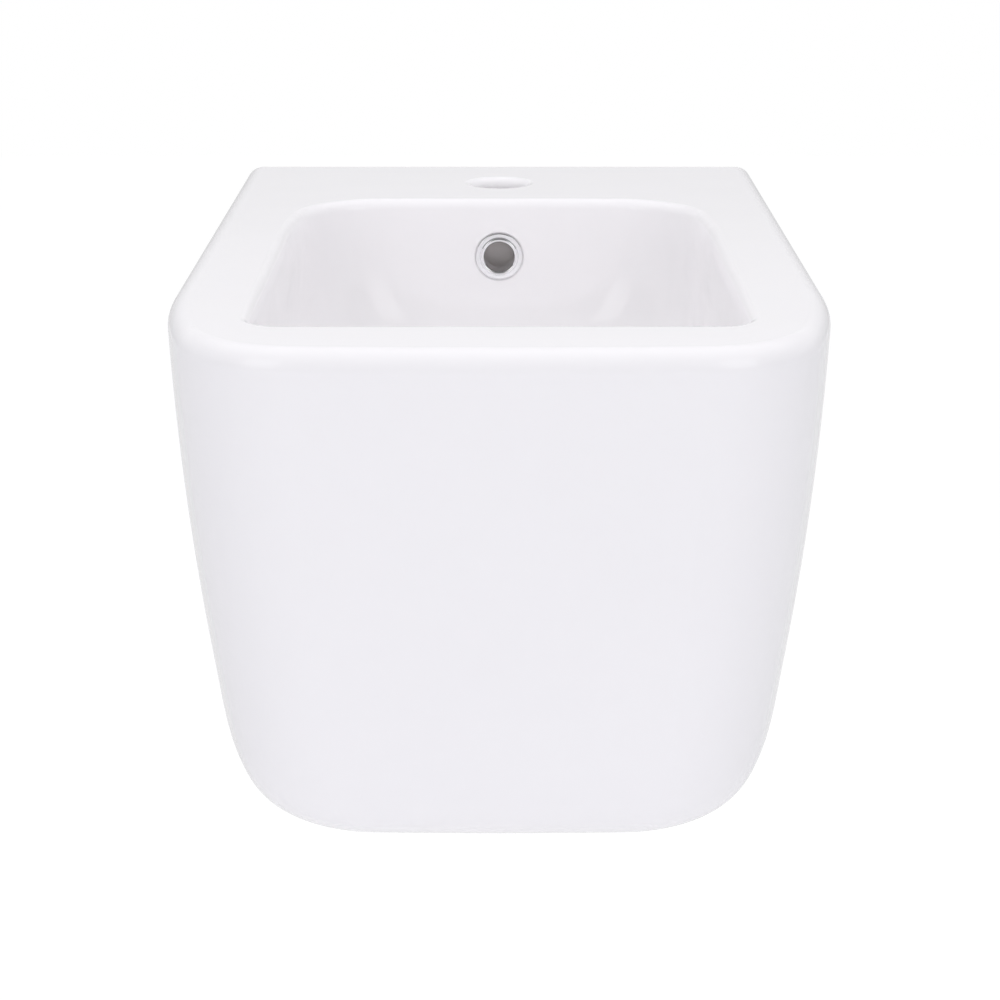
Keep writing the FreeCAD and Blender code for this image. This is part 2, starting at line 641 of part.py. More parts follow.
def make_ceramic_body():
    """The hollow china casting: outer skin, basin, overflow duct, bosses and every hole in it."""
    body = new_body("ceramic_body")
    loft(body, "OuterSkin", hull_drawings(body, "Skin", ZERO, GRIND, ZERO, ZERO))

    # The back is ground flat to the wall plane.
    ground = Drawing(body, "GroundArea", "XZ_Plane")
    ground.box(-named("body_width"), named("body_width"), DECK - named("body_height") - CLEAR, DECK + CLEAR)
    grind = pocket(body, "GroundBack", ground, GRIND * 2)

    def on_deck_edge(edge):
        box = edge.BoundBox
        return box.ZMin > DECK.value - TOUCH and box.YMin < -SLACK

    fillet(body, "DeckEdge", grind, edges_where(grind.Shape, on_deck_edge), named("deck_round"))

    # The casting is hollow between its skin and the basin.
    hollow = hull_drawings(body, "Hollow", named("china_wall"), -named("china_back"), named("china_deck"),
                           named("china_floor"))
    loft(body, "HollowCore", hollow, cut=True)
    loft(body, "BasinShell", basin_drawings(body, "Shell", named("china_bowl"), named("china_deck") / 2))

    # Bosses for the wall fixings and for the waste, and the wall of the overflow duct.
    for side, x in (("Left", -STUD_X), ("Right", STUD_X)):
        boss = Drawing(body, f"{side}BossPlan", "XZ_Plane", named("china_back") / 2)
        boss.circle(x, ZERO, named("fixing_boss_width"))
        pad(body, f"{side}Boss", boss, named("fixing_boss_reach") - named("china_back") / 2)
    boss = Drawing(body, "WasteBossPlan", "XY_Plane", BASIN_FLOOR - named("waste_recess_depth"))
    boss.circle(ZERO, WASTE_Y, named("waste_boss_width"))
    pad(body, "WasteBoss", boss, named("waste_boss_height") - named("waste_recess_depth"), reverse=True)
    duct_top = OVERFLOW_Z + named("overflow_hole_width") / 2 + named("running_gap")
    shell_top = duct_top + named("duct_wall")
    shell_end = WASTE_Y + named("waste_hole_width") / 2 + named("duct_wall")
    pipe(body, "DuctShell", duct_profile(body, "DuctShellPlan", shell_top, named("duct_wall")),
         duct_route(body, "DuctShellRoute", shell_top, shell_end))

    # The basin and its soft rim.
    basin = loft(body, "Basin", basin_drawings(body, "Basin", ZERO, ZERO), cut=True)

    def on_basin_rim(edge):
        box = edge.BoundBox
        behind_front = box.YMin > -BASIN_FRONT.value - SLACK
        before_rear = box.YMax < -named("basin_rear").value + SLACK
        return box.ZMin > DECK.value - TOUCH and behind_front and before_rear and not is_skin(box)

    def is_skin(box):
        return box.XLength > named("basin_half").value * 2 + SLACK

    fillet(body, "BasinRim", basin, edges_where(basin.Shape, on_basin_rim), named("rim_round"))

    # The overflow: its hole and seat in the rear basin wall, and the duct to the waste.
    seat_y = named("basin_rear") - named("overflow_seat_depth")
    hole = Drawing(body, "OverflowHolePlan", "XZ_Plane", seat_y)
    hole.circle(ZERO, OVERFLOW_Z, named("overflow_hole_width"))
    pocket(body, "OverflowHole", hole, seat_y + DUCT_Y)
    seat = Drawing(body, "OverflowSeatPlan", "XZ_Plane", seat_y)
    seat.circle(ZERO, OVERFLOW_Z, named("overflow_seat_width"))
    pocket(body, "OverflowSeat", seat, CLEAR, reverse=True)
    pipe(body, "Duct", duct_profile(body, "DuctPlan", duct_top, ZERO),
         duct_route(body, "DuctRoute", duct_top, WASTE_Y + named("waste_hole_width") / 4), cut=True)

    # The waste hole and the recess for its flange.
    hole = Drawing(body, "WasteHolePlan", "XY_Plane", BASIN_FLOOR + CLEAR)
    hole.circle(ZERO, WASTE_Y, named("waste_hole_width"))
    pocket(body, "WasteHole", hole, CLEAR + named("waste_boss_height") + CLEAR)
    recess = Drawing(body, "WasteRecessPlan", "XY_Plane", BASIN_FLOOR + CLEAR)
    recess.circle(ZERO, WASTE_Y, named("waste_recess_width"))
    pocket(body, "WasteRecess", recess, CLEAR + named("waste_recess_depth"))

    # The tap hole, with a soft upper edge.
    hole = Drawing(body, "TapHolePlan", "XY_Plane", DECK)
    hole.circle(ZERO, -named("tap_from_wall"), named("tap_hole_width"))
    tap = pocket(body, "TapHole", hole, named("china_deck") * 2)

    def on_tap_edge(edge):
        box = edge.BoundBox
        return box.ZMin > DECK.value - TOUCH and abs(box.XLength - named("tap_hole_width").value) < SLACK

    fillet(body, "TapEdge", tap, edges_where(tap.Shape, on_tap_edge), named("tap_edge_round"))

    # The fixing holes, the service opening in the back and the hatch in the base.
    for side, x in (("Left", -STUD_X), ("Right", STUD_X)):
        hole = Drawing(body, f"{side}FixingPlan", "XZ_Plane")
        hole.circle(x, ZERO, named("fixing_hole_width"))
        pocket(body, f"{side}FixingHole", hole, named("fixing_boss_reach") * 2, reverse=True)
    service = Drawing(body, "ServicePlan", "XZ_Plane")
    service_low = DECK - named("body_height") - GRIND
    corner = named("service_corner")
    half = named("service_half")
    top = -named("service_top")
    service.outline([(-half, service_low), (half, service_low), (half, top - corner, corner),
                     (half - corner, top), (corner - half, top, corner), (-half, top - corner)])
    pocket(body, "ServiceOpening", service, named("china_back") * 2, reverse=True)
    hatch = Drawing(body, "HatchPlan", "XY_Plane", DECK - named("body_height") - GRIND)
    reach = -named("hatch_reach")
    corner = named("hatch_corner")
    hatch.outline([(half, GRIND), (-half, GRIND), (-half, reach + corner, corner), (corner - half, reach),
                   (half - corner, reach, corner), (half, reach + corner)])
    opened = pocket(body, "BaseHatch", hatch, named("china_floor") * 2 + GRIND, reverse=True)

    def on_opening_edge(edge):
        box = edge.BoundBox
        within = max(abs(box.XMin), abs(box.XMax)) < named("service_half").value + SLACK
        in_back = box.YMin > -TOUCH and box.ZMax < -named("service_top").value + SLACK
        in_base = box.ZMax < DECK.value - named("body_height").value + TOUCH
        behind_front = box.YMin > -named("hatch_reach").value - SLACK
        return within and (in_back or in_base and behind_front)

    fillet(body, "OpeningEdges", opened, edges_where(opened.Shape, on_opening_edge), named("opening_round"))
    return body


# The overflow trim, drawn on an axis that points out of its seat into the basin.
OUT_OF_WALL = FreeCAD.Rotation(FreeCAD.Vector(1, 0, 0), 90)
SEAT_Y = named("overflow_seat_depth") - named("basin_rear")


def make_overflow_ring():
    """Chromed ring with a round bead and a flat brim, on a sleeve that goes into the china."""
    body = new_body("overflow_ring")
    bore = named("ring_bore") / 2
    bead = named("ring_bead_width") / 2
    rim = named("ring_width") / 2
    sleeve = named("ring_sleeve_width") / 2
    curl = (bead - bore) / 2
    foot = named("ring_rise") - curl
    low = -named("ring_sleeve")
    brim = named("ring_brim")
    edge = brim / 2
    profile = Drawing(body, "RingProfile", "XZ_Plane")
    profile.outline([(bore, low), (sleeve, low), (sleeve, ZERO), (rim, ZERO), (rim, brim - edge, edge),
                     (rim - edge, brim), (bead, foot, curl), (bead - curl, named("ring_rise"), curl),
                     (bore, foot)])
    revolve(body, "Ring", profile)
    place(body, ZERO, SEAT_Y, OVERFLOW_Z, OUT_OF_WALL)
    return body


def make_overflow_grip():
    """Rubber ring with square ribs, squeezed between the trim's sleeve and the china."""
    body = new_body("overflow_grip")
    inner = named("ring_sleeve_width") / 2
    tip = named("overflow_hole_width") / 2
    root_radius = (inner + tip) / 2
    count = int(named("grip_ribs").value)
    pitch = named("ring_sleeve") / (2 * count + 2)
    top = -pitch
    points = [(inner, top)]
    for rib in range(count):
        start = top - pitch * (2 * rib)
        points += [(tip, start), (tip, start - pitch)]
        if rib + 1 < count:
            points += [(root_radius, start - pitch), (root_radius, start - pitch * 2)]
    points.append((inner, top - pitch * (2 * count - 1)))
    revolve(body, "Grip", Drawing(body, "GripProfile", "XZ_Plane").outline(points[::-1]))
    place(body, ZERO, SEAT_Y, OVERFLOW_Z, OUT_OF_WALL)
    return body


# The waste, drawn from the basin floor: Z = 0 is the floor, on the axis of the waste hole.
FLANGE_LOW = named("seal_thick") - named("waste_recess_depth")
FLANGE_TOP = FLANGE_LOW + named("waste_flange_thick")
TUBE = named("waste_tube_width") / 2
BORE = named("waste_bore") / 2
BOSS_LOW = -named("waste_boss_height")
CONE_LOW = BOSS_LOW - named("cone_seal_height")
NUT_TOP = CONE_LOW - named("slip_ring_thick")
SPIDER_TOP = -named("spider_drop")
SNUG = named("fit_gap")
SLIDE = named("running_gap")


def place_in_waste(body):
    place(body, ZERO, WASTE_Y, BASIN_FLOOR)
    return body


def make_waste_body():
    """Flanged tube with overflow windows, and a spider whose hub takes the latch."""
    body = new_body("waste_body")
    rim = named("waste_flange_width") / 2
    low = -named("waste_length")
    tail = low + named("tail_length")
    relief = tail + named("tail_relief")
    neck = TUBE - named("tail_undercut")
    shoulder = named("plug_seal_outer") + named("flange_land")
    lip = named("waste_flange_thick") / 2
    bevel = lip / 2
    profile = Drawing(body, "TubeProfile", "XZ_Plane")
    profile.outline([(BORE, low), (TUBE, low), (TUBE, tail), (neck, tail), (neck, relief), (TUBE, relief),
                     (TUBE, FLANGE_LOW), (rim, FLANGE_LOW), (rim, FLANGE_LOW + lip), (shoulder, FLANGE_TOP),
                     (BORE + bevel, FLANGE_TOP), (BORE, FLANGE_TOP - bevel)])
    revolve(body, "Tube", profile)
    window = Drawing(body, "WindowPlan", "XZ_Plane")
    half_width = named("window_width") / 2
    half_height = named("window_height") / 2
    middle = -named("duct_drop")
    window.box(-half_width, half_width, middle - half_height, middle + half_height)
    ring_pattern(body, "Windows", pocket(body, "Window", window, TUBE * 2), named("window_count"))
    arm = Drawing(body, "ArmPlan", "XY_Plane", SPIDER_TOP)
    half_arm = named("spider_arm") / 2
    arm.box(ZERO, (BORE + TUBE) / 2, -half_arm, half_arm)
    arm = pad(body, "Arm", arm, named("spider_height"), reverse=True)
    ring_pattern(body, "Spider", arm, named("spider_count"))
    hub = Drawing(body, "HubPlan", "XY_Plane", SPIDER_TOP)
    hub.circle(ZERO, ZERO, named("hub_width"))
    pad(body, "Hub", hub, named("spider_height"), reverse=True)
    hole = Drawing(body, "HubHolePlan", "XY_Plane", SPIDER_TOP)
    hole.circle(ZERO, ZERO, named("stub_width") + SNUG * 2)
    pocket(body, "HubHole", hole, named("spider_height") * 2)
    return place_in_waste(body)


def make_round_piece(label, points):
    """A piece of the waste turned from one outline of radii and heights."""
    body = new_body(label)
    revolve(body, "Turned", Drawing(body, "Profile", "XZ_Plane").outline(points))
    return place_in_waste(body)


def ring_points(inner, outer, low, high):
    return [(inner, low), (outer, low), (outer, high), (inner, high)]


def make_waste_flange_seal():
    """Flat seal between the waste flange and its recess in the china."""
    inner = named("waste_hole_width") / 2 + SLIDE
    outer = named("waste_flange_width") / 2 - named("seal_thick")
    points = ring_points(inner, outer, -named("waste_recess_depth"), FLANGE_LOW)
    return make_round_piece("waste_flange_seal", points)


def make_waste_cone_seal():
    """Rubber seal under the china, with a neck that centres the tube in the hole."""
    inner = TUBE + SNUG
    neck = named("waste_hole_width") / 2 - SNUG
    outer = named("cone_seal_width") / 2
    half = named("cone_seal_height") / 2
    foot = named("slip_ring_width") / 2
    points = [(inner, CONE_LOW), (foot, CONE_LOW), (outer, CONE_LOW + half), (outer, BOSS_LOW),
              (neck, BOSS_LOW), (neck, BOSS_LOW + half), (inner, BOSS_LOW + half)]
    return make_round_piece("waste_cone_seal", points)


def make_waste_slip_ring():
    """Thin plastic ring between the rubber and the nut."""
    points = ring_points(TUBE + SNUG, named("slip_ring_width") / 2, NUT_TOP, CONE_LOW)
    return make_round_piece("waste_slip_ring", points)


def hexagon(drawing, x, y, flats):
    """A hexagon round (x, y), with two flats upright."""
    half = flats / 2
    corner = flats / root(Size(3, "3"))
    points = [(x + half, y - corner / 2), (x + half, y + corner / 2), (x, y + corner),
              (x - half, y + corner / 2), (x - half, y - corner / 2), (x, y - corner)]
    drawing.outline(points)


def make_waste_back_nut():
    """Hexagon nut that clamps the waste to the china."""
    body = new_body("waste_back_nut")
    plan = Drawing(body, "NutPlan", "XY_Plane", NUT_TOP)
    hexagon(plan, ZERO, ZERO, named("back_nut_flats"))
    plan.circle(ZERO, ZERO, named("waste_tube_width") + SNUG * 2)
    pad(body, "Nut", plan, named("back_nut_height"), reverse=True)
    return place_in_waste(body)


# The push-push latch and the plug, drawn in the same place with the plug up.
BARREL_TOP = SPIDER_TOP + named("barrel_height")
BARREL_FLOOR = SPIDER_TOP + named("barrel_floor")
STOP_Z = BARREL_TOP - named("collar_plug")
STEM = named("stem_width") / 2
HEAD_TOP = STOP_Z - SLIDE
HEAD_LOW = HEAD_TOP - named("stem_head_height")
ROTOR_TOP = HEAD_LOW - SLIDE
ROTOR_LOW = ROTOR_TOP - named("rotor_height")
SEAL_LOW = FLANGE_TOP + SLIDE + named("plug_travel")
SEAL_TOP = SEAL_LOW + named("plug_seal_thick")
RIM_LOW = SEAL_TOP - named("cap_edge")
CAP_TOP = SEAL_TOP + named("cap_crown")


def make_latch_barrel():
    """Closed cup for the latch, with a stub screwed into the hub."""
    stub = named("stub_width") / 2
    stub_low = SPIDER_TOP - named("spider_height") - named("stub_overhang")
    outer = named("barrel_width") / 2
    bore = named("barrel_bore") / 2
    points = [(ZERO, stub_low), (stub, stub_low), (stub, SPIDER_TOP), (outer, SPIDER_TOP),
              (outer, BARREL_TOP), (bore, BARREL_TOP), (bore, BARREL_FLOOR), (ZERO, BARREL_FLOOR)]
    return make_round_piece("latch_barrel", points)


def make_latch_collar():
    """Screwed collar that closes the barrel, guides the stem and stops its head."""
    inner = STEM + SLIDE
    outer = named("barrel_width") / 2
    plug = named("barrel_bore") / 2 - SNUG
    top = BARREL_TOP + named("collar_height")
    points = [(inner, STOP_Z), (plug, STOP_Z), (plug, BARREL_TOP), (outer, BARREL_TOP), (outer, top),
              (inner, top)]
    return make_round_piece("latch_collar", points)


def make_latch_rotor():
    """Indexing ring on the stem's spigot, with lugs that follow the barrel's wall."""
    body = new_body("latch_rotor")
    inner = named("stem_spigot_width") / 2 + SLIDE
    outer = named("rotor_width") / 2
    profile = Drawing(body, "RotorProfile", "XZ_Plane")
    revolve(body, "RotorRing", profile.outline(ring_points(inner, outer, ROTOR_LOW, ROTOR_TOP)))
    lug = Drawing(body, "LugPlan", "XY_Plane", ROTOR_LOW)
    half = named("lug_width") / 2
    lug.box(outer - half, named("lug_reach"), -half, half)
    ring_pattern(body, "Lugs", pad(body, "Lug", lug, named("lug_height")), named("lug_count"))
    return place_in_waste(body)


def make_plug_stem():
    """Stem with a head under the collar and a spigot for the rotor."""
    head = named("stem_head_width") / 2
    spigot = named("stem_spigot_width") / 2
    low = HEAD_LOW - named("stem_spigot_length")
    top = SEAL_TOP + SNUG
    points = [(ZERO, low), (spigot, low), (spigot, HEAD_LOW), (head, HEAD_LOW), (head, HEAD_TOP),
              (STEM, HEAD_TOP), (STEM, top), (ZERO, top)]
    return make_round_piece("plug_stem", points)


def make_plug_cap():
    """Domed shell with a groove for its seal and a boss screwed on the stem."""
    rim = named("cap_width") / 2
    crown = named("cap_crown")
    dome = (rim * rim + crown * crown) / (2 * crown)
    shell = named("cap_shell")
    boss = named("cap_boss_width") / 2
    hole = STEM + SNUG
    hole_top = SEAL_TOP + SNUG
    inner = named("plug_seal_inner")
    web = inner - shell
    roof = CAP_TOP - shell
    foot = RIM_LOW - named("cap_boss_drop")
    outer = named("plug_seal_outer")
    points = [(rim, RIM_LOW), (rim, SEAL_TOP, dome), (ZERO, CAP_TOP), (ZERO, hole_top), (hole, hole_top),
              (hole, foot), (boss, foot), (boss, roof), (web, SEAL_TOP), (web, RIM_LOW), (inner, RIM_LOW),
              (inner, SEAL_TOP), (outer, SEAL_TOP), (outer, RIM_LOW)]
    return make_round_piece("plug_cap", points)


def make_plug_seal():
    """Rubber ring that seats on the waste flange when the plug is down."""
    points = ring_points(named("plug_seal_inner"), named("plug_seal_outer"), SEAL_LOW, SEAL_TOP)
    return make_round_piece("plug_seal", points)


def make_plug_spring():
    """Coil spring between the barrel's floor and the rotor: one wire wound on quarter-turn arcs."""
    wire = named("spring_wire").value / 2
    radius = named("spring_width").value / 2 - wire
    turns = named("spring_turns").value
    low = BARREL_FLOOR.value + wire + named("fit_gap").value
    high = ROTOR_LOW.value - wire - SLIDE.value
    count = int(round(turns * 4))

    def on_coil(quarters):
        angle = quarters * math.pi / 2
        height = low + (high - low) * quarters / count
        return FreeCAD.Vector(radius * math.cos(angle), radius * math.sin(angle), height)

    arcs = [Part.Arc(on_coil(step), on_coil(step + 0.5), on_coil(step + 1)) for step in range(count)]
    route = Part.Wire([arc.toShape() for arc in arcs])
    start = route.Edges[0]
    section = Part.Circle(on_coil(0), start.tangentAt(start.FirstParameter), wire).toShape()
    shell = route.makePipeShell([Part.Wire(section)], True, False)
    fine = 4
    half_turn = 2 * fine
    places = [on_coil(step / fine) for step in range(count * fine + 1)]
    nearest = min(a.distanceToPoint(b) for n, a in enumerate(places) for b in places[n + half_turn:])
    print("plug_spring: least gap to itself", round(nearest - 2 * wire, 2), "mm")
    spring = doc.addObject("Part::Feature", "plug_spring")
    spring.Label = "plug_spring"
    spring.Shape = shell
    return place_in_waste(spring)


# The wall fixing set. Its pieces come in pairs, one on each stud, and are drawn along the wall's normal.
BOSS_FACE = named("fixing_boss_reach")
BRIM_FACE = BOSS_FACE + named("sleeve_brim_thick")
WASHER_FACE = BRIM_FACE + named("washer_thick")
STUD_HOLE = named("stud_width") + SNUG * 2


def paired_rings(body, name, start, length, outer, inner):
    """Two rings or discs, one on each stud, from a distance in front of the wall."""
    plan = Drawing(body, f"{name}Plan", "XZ_Plane", start)
    for x in (-STUD_X, STUD_X):
        plan.circle(x, ZERO, outer)
        if inner:
            plan.circle(x, ZERO, inner)
    return pad(body, name, plan, length)


def make_wall_studs():
    """Double-ended studs: a thread in the wall, a plain shank through the casting, a thread for the nut."""
    body = new_body("wall_studs")
    behind = named("stud_into_wall")
    inside = named("stud_inside")
    thread = named("stud_nut_thread")
    paired_rings(body, "WallThreads", -behind, behind, named("stud_width"), None)
    paired_rings(body, "Shanks", ZERO, inside - thread, named("stud_shank_width"), None)
    rods = paired_rings(body, "NutThreads", inside - thread, thread, named("stud_width"), None)

    def on_end(edge):
        box = edge.BoundBox
        return box.YMin > behind.value - TOUCH or box.YMax < TOUCH - inside.value

    bevel = body.newObject("PartDesign::Chamfer", "Ends")
    bevel.Base = (rods, edges_where(rods.Shape, on_end))
    bevel.setExpression("Size", "Sizes.stud_bevel")
    return body


def make_stud_sleeves():
    """Plastic sleeves that keep the studs off the china, with brims on the bosses."""
    body = new_body("stud_sleeves")
    start = named("sleeve_setback")
    paired_rings(body, "Tubes", start, BOSS_FACE - start, named("sleeve_width"), STUD_HOLE)
    paired_rings(body, "Brims", BOSS_FACE, named("sleeve_brim_thick"), named("sleeve_brim_width"), STUD_HOLE)
    return body


def make_fixing_washers():
    """Steel washers on the sleeve brims."""
    body = new_body("fixing_washers")
    paired_rings(body, "Washers", BRIM_FACE, named("washer_thick"), named("washer_width"), STUD_HOLE)
    return body


def make_fixing_nuts():
    """Hexagon nuts that pull the casting to the wall."""
    body = new_body("fixing_nuts")
    plan = Drawing(body, "NutPlan", "XZ_Plane", WASHER_FACE)
    for x in (-STUD_X, STUD_X):
        hexagon(plan, x, ZERO, named("fixing_nut_flats"))
        plan.circle(x, ZERO, STUD_HOLE)
    pad(body, "Nuts", plan, named("fixing_nut_height"))
    return body


PIECES = [
    make_ceramic_body(),
    make_overflow_ring(),
    make_overflow_grip(),
    make_waste_body(),
    make_waste_flange_seal(),
    make_waste_cone_seal(),
    make_waste_slip_ring(),
    make_waste_back_nut(),
    make_latch_barrel(),
    make_latch_collar(),
    make_latch_rotor(),
    make_plug_spring(),
    make_plug_stem(),
    make_plug_cap(),
    make_plug_seal(),
    make_wall_studs(),
    make_stud_sleeves(),
    make_fixing_washers(),
    make_fixing_nuts(),
]

doc.recompute()
for item in doc.Objects:
    if "Invalid" in item.State or "Error" in item.State:
        raise RuntimeError(f"{item.Label} failed to build")
for piece in PIECES:
    if piece.Shape.isNull() or not piece.Shape.isValid():
        raise RuntimeError(f"{piece.Label} has no valid shape")
os.makedirs("parts", exist_ok=True)
for piece in PIECES:
    piece.Shape.exportStep(f"parts/{piece.Label}.step")
    print(piece.Label, len(piece.Shape.Solids), "solid(s)", round(piece.Shape.Volume / 1000, 2), "cm3")
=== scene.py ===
import bmesh
import bpy
import math
from mathutils import Matrix, Vector
from mathutils.kdtree import KDTree


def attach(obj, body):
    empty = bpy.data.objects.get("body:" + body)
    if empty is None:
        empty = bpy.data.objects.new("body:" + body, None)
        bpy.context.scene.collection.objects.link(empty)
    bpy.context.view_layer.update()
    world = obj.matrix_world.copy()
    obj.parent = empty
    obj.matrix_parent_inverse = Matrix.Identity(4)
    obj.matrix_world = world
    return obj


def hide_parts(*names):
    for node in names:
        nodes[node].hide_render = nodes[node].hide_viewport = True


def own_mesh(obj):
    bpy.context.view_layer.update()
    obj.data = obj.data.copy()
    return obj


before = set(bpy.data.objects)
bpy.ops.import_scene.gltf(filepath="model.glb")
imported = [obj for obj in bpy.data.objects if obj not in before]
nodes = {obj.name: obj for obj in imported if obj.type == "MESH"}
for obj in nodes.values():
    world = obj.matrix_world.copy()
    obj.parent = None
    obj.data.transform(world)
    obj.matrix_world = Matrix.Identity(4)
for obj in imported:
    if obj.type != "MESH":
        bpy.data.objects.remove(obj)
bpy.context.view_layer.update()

# The casting: deck, basin and hollow skirt are one piece of vitreous china, cast from slip in a plaster
# mould, glazed all over and fired. Its back is ground flat afterwards, so that it sits tight on the tiles.
GLAZE_WHITE = "#f7f5f6"
GLAZE_POOLED = "#f5f3f4"
BARE_CLAY = "#e2dbce"
DUCT_CLAY = "#f7f1ee"
GLAZE_ROUGHNESS = (0.05, 0.09)
CLAY_ROUGHNESS = 0.75
GLAZE_IOR = 1.52
POOL_MM = 130
RUN_MM = 45
PEEL_MM = 4
WIPE_MM = 25
RUN_HEIGHT = 0.00008
PEEL_HEIGHT = 0.000008
# The grinding marks run level. Real ones are finer than 0.8 mm; they are drawn that wide so that they show.
GRIND_MARK_MM = (40, 40, 0.8)
GRIND_HEIGHT = 0.00003
GROUND_DEPTH = 0.0003
# The space round the overflow's duct, behind the rear basin wall: its middle, and how far it reaches.
DUCT_MIDDLE = Vector((0, -0.111, 0.04))
DUCT_REACH = Vector((0.024, 0.0105, 0.04))


def linear(code):
    """An sRGB hex colour as linear red, green, blue and alpha."""
    parts = [int(code[n:n + 2], 16) / 255 for n in (1, 3, 5)]
    return [p / 12.92 if p <= 0.04045 else ((p + 0.055) / 1.055) ** 2.4 for p in parts] + [1]


def per(millimetres):
    """The texture scale at which a pattern's features are this many millimetres across."""
    return 1000 / millimetres


def blank(name):
    """A material with nothing in its node tree yet, and that tree."""
    material = bpy.data.materials.new(name)
    material.use_nodes = True
    material.node_tree.nodes.clear()
    return material, material.node_tree


def add(tree, kind, sockets=None, **settings):
    """Adds a node with its settings; a socket gets either a value or a link from another node's output."""
    node = tree.nodes.new(kind)
    for name, value in settings.items():
        setattr(node, name, value)
    for name, value in (sockets or {}).items():
        if isinstance(value, bpy.types.NodeSocket):
            tree.links.new(value, node.inputs[name])
        else:
            node.inputs[name].default_value = value
    return node


# Vitreous china under a fired glaze: a clear glassy skin over white. Lamps show in it as soft bands, which
# waver a little where the glaze ran before it set. The ground back is bare clay, matt, with grinding marks,
# and in the overflow's duct the glaze is thin, so that the clay warms its white.
china, tree = blank("vitreous_china_glazed")
place = add(tree, "ShaderNodeTexCoord").outputs["Object"]
pool = add(tree, "ShaderNodeTexNoise", {"Vector": place, "Scale": per(POOL_MM), "Detail": 1})
wipe = add(tree, "ShaderNodeTexNoise", {"Vector": place, "Scale": per(WIPE_MM), "Detail": 3})
run = add(tree, "ShaderNodeTexNoise", {"Vector": place, "Scale": per(RUN_MM), "Detail": 0})
peel = add(tree, "ShaderNodeTexNoise", {"Vector": place, "Scale": per(PEEL_MM), "Detail": 1})
drawn_out = add(tree, "ShaderNodeVectorMath", {0: place, 1: [per(mm) for mm in GRIND_MARK_MM]},
                operation="MULTIPLY")
marks = add(tree, "ShaderNodeTexNoise", {"Vector": drawn_out.outputs[0], "Scale": 1, "Detail": 2})
depth = add(tree, "ShaderNodeSeparateXYZ", {0: place})
ground = add(tree, "ShaderNodeMath", {0: depth.outputs["Y"], 1: -GROUND_DEPTH}, operation="GREATER_THAN")
from_duct = add(tree, "ShaderNodeVectorMath", {0: place, 1: DUCT_MIDDLE}, operation="SUBTRACT")
share_out = add(tree, "ShaderNodeVectorMath", {0: from_duct.outputs[0], 1: DUCT_REACH}, operation="DIVIDE")
how_far = add(tree, "ShaderNodeVectorMath", {0: share_out.outputs[0]}, operation="LENGTH")
in_duct = add(tree, "ShaderNodeMath", {0: how_far.outputs["Value"], 1: 1}, operation="LESS_THAN")
glaze = add(tree, "ShaderNodeMix", {0: pool.outputs[0], 6: linear(GLAZE_WHITE), 7: linear(GLAZE_POOLED)},
            data_type="RGBA")
thin = add(tree, "ShaderNodeMix", {0: in_duct.outputs[0], 6: glaze.outputs[2], 7: linear(DUCT_CLAY)},
           data_type="RGBA")
colour = add(tree, "ShaderNodeMix", {0: ground.outputs[0], 6: thin.outputs[2], 7: linear(BARE_CLAY)},
             data_type="RGBA")
sheen = add(tree, "ShaderNodeMapRange", {0: wipe.outputs[0], 3: GLAZE_ROUGHNESS[0], 4: GLAZE_ROUGHNESS[1]})
rough = add(tree, "ShaderNodeMix", {0: ground.outputs[0], 2: sheen.outputs[0], 3: CLAY_ROUGHNESS})
waves = add(tree, "ShaderNodeBump", {"Height": run.outputs[0], "Distance": RUN_HEIGHT})
skin = add(tree, "ShaderNodeBump", {"Height": peel.outputs[0], "Distance": PEEL_HEIGHT,
                                    "Normal": waves.outputs[0]})
scored = add(tree, "ShaderNodeMath", {0: marks.outputs[0], 1: ground.outputs[0]}, operation="MULTIPLY")
scratch = add(tree, "ShaderNodeBump", {"Height": scored.outputs[0], "Distance": GRIND_HEIGHT,
                                       "Normal": skin.outputs[0]})
surface = add(tree, "ShaderNodeBsdfPrincipled", {"Base Color": colour.outputs[2], "IOR": GLAZE_IOR,
                                                 "Roughness": rough.outputs[0], "Normal": scratch.outputs[0]})
add(tree, "ShaderNodeOutputMaterial", {"Surface": surface.outputs[0]})

# The rim of the basin and the edge of the tap hole are sponged round while the clay is soft. The frame's
# roundings are smaller, so the casting is a copy of the frame's mesh with these two edges eased: each pair
# of roundings is the radius in the frame and the radius on the piece.
DECK_Z = 0.08
TAP_ROUND = (0.002, 0.0065)
TAP_AXIS = Vector((0, -0.064))
TAP_RADIUS = 0.0175
RIM_ROUND = (0.005, 0.007)
# The rim lies between these two corners of the plan. Its rounding grows from the frame's to the piece's
# between these two places behind the front, and the wall slides back with it, down to this height.
RIM_LOW = Vector((-0.134, -0.491))
RIM_HIGH = Vector((0.134, -0.125))
RIM_FRONT_Y = (-0.47, -0.4)
SLIDE_END_Z = 0.0605
# The basin's walls face its heart. Their middle strip is flat across and keeps the frame's directions.
BOWL_HEART = Vector((0, -0.3, 0.06))
BOWL_LOW_Z = -0.045
BOWL_HALF_FLAT = 0.04
# The outer edge of the deck: its radius, where it ends below and behind, and how far its corners face out.
EDGE_ROUND = 0.011
EDGE_LOW_Z = 0.0675
EDGE_BACK_Y = -0.005
EDGE_TOWARD = 0.1
# How shading directions are blended: the distance at which a neighbour counts as much as the corner itself,
# how many times, and how alike two directions must be.
BLEND_REACH = 0.004
BLEND_PASSES = 12
SAME_SURFACE = math.cos(math.radians(35))
MESH_TOUCH = 0.000002
EDGE_SLACK = 0.0002
UP = Vector((0, 0, 1))


def placed(name, mesh, material, body, node):
    """Makes a mesh a piece that rides on a body and stands for a node of the frame."""
    mesh.materials.clear()
    mesh.materials.append(material)
    made = bpy.data.objects.new(name, mesh)
    bpy.context.scene.collection.objects.link(made)
    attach(made, body)
    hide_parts(node)
    return made


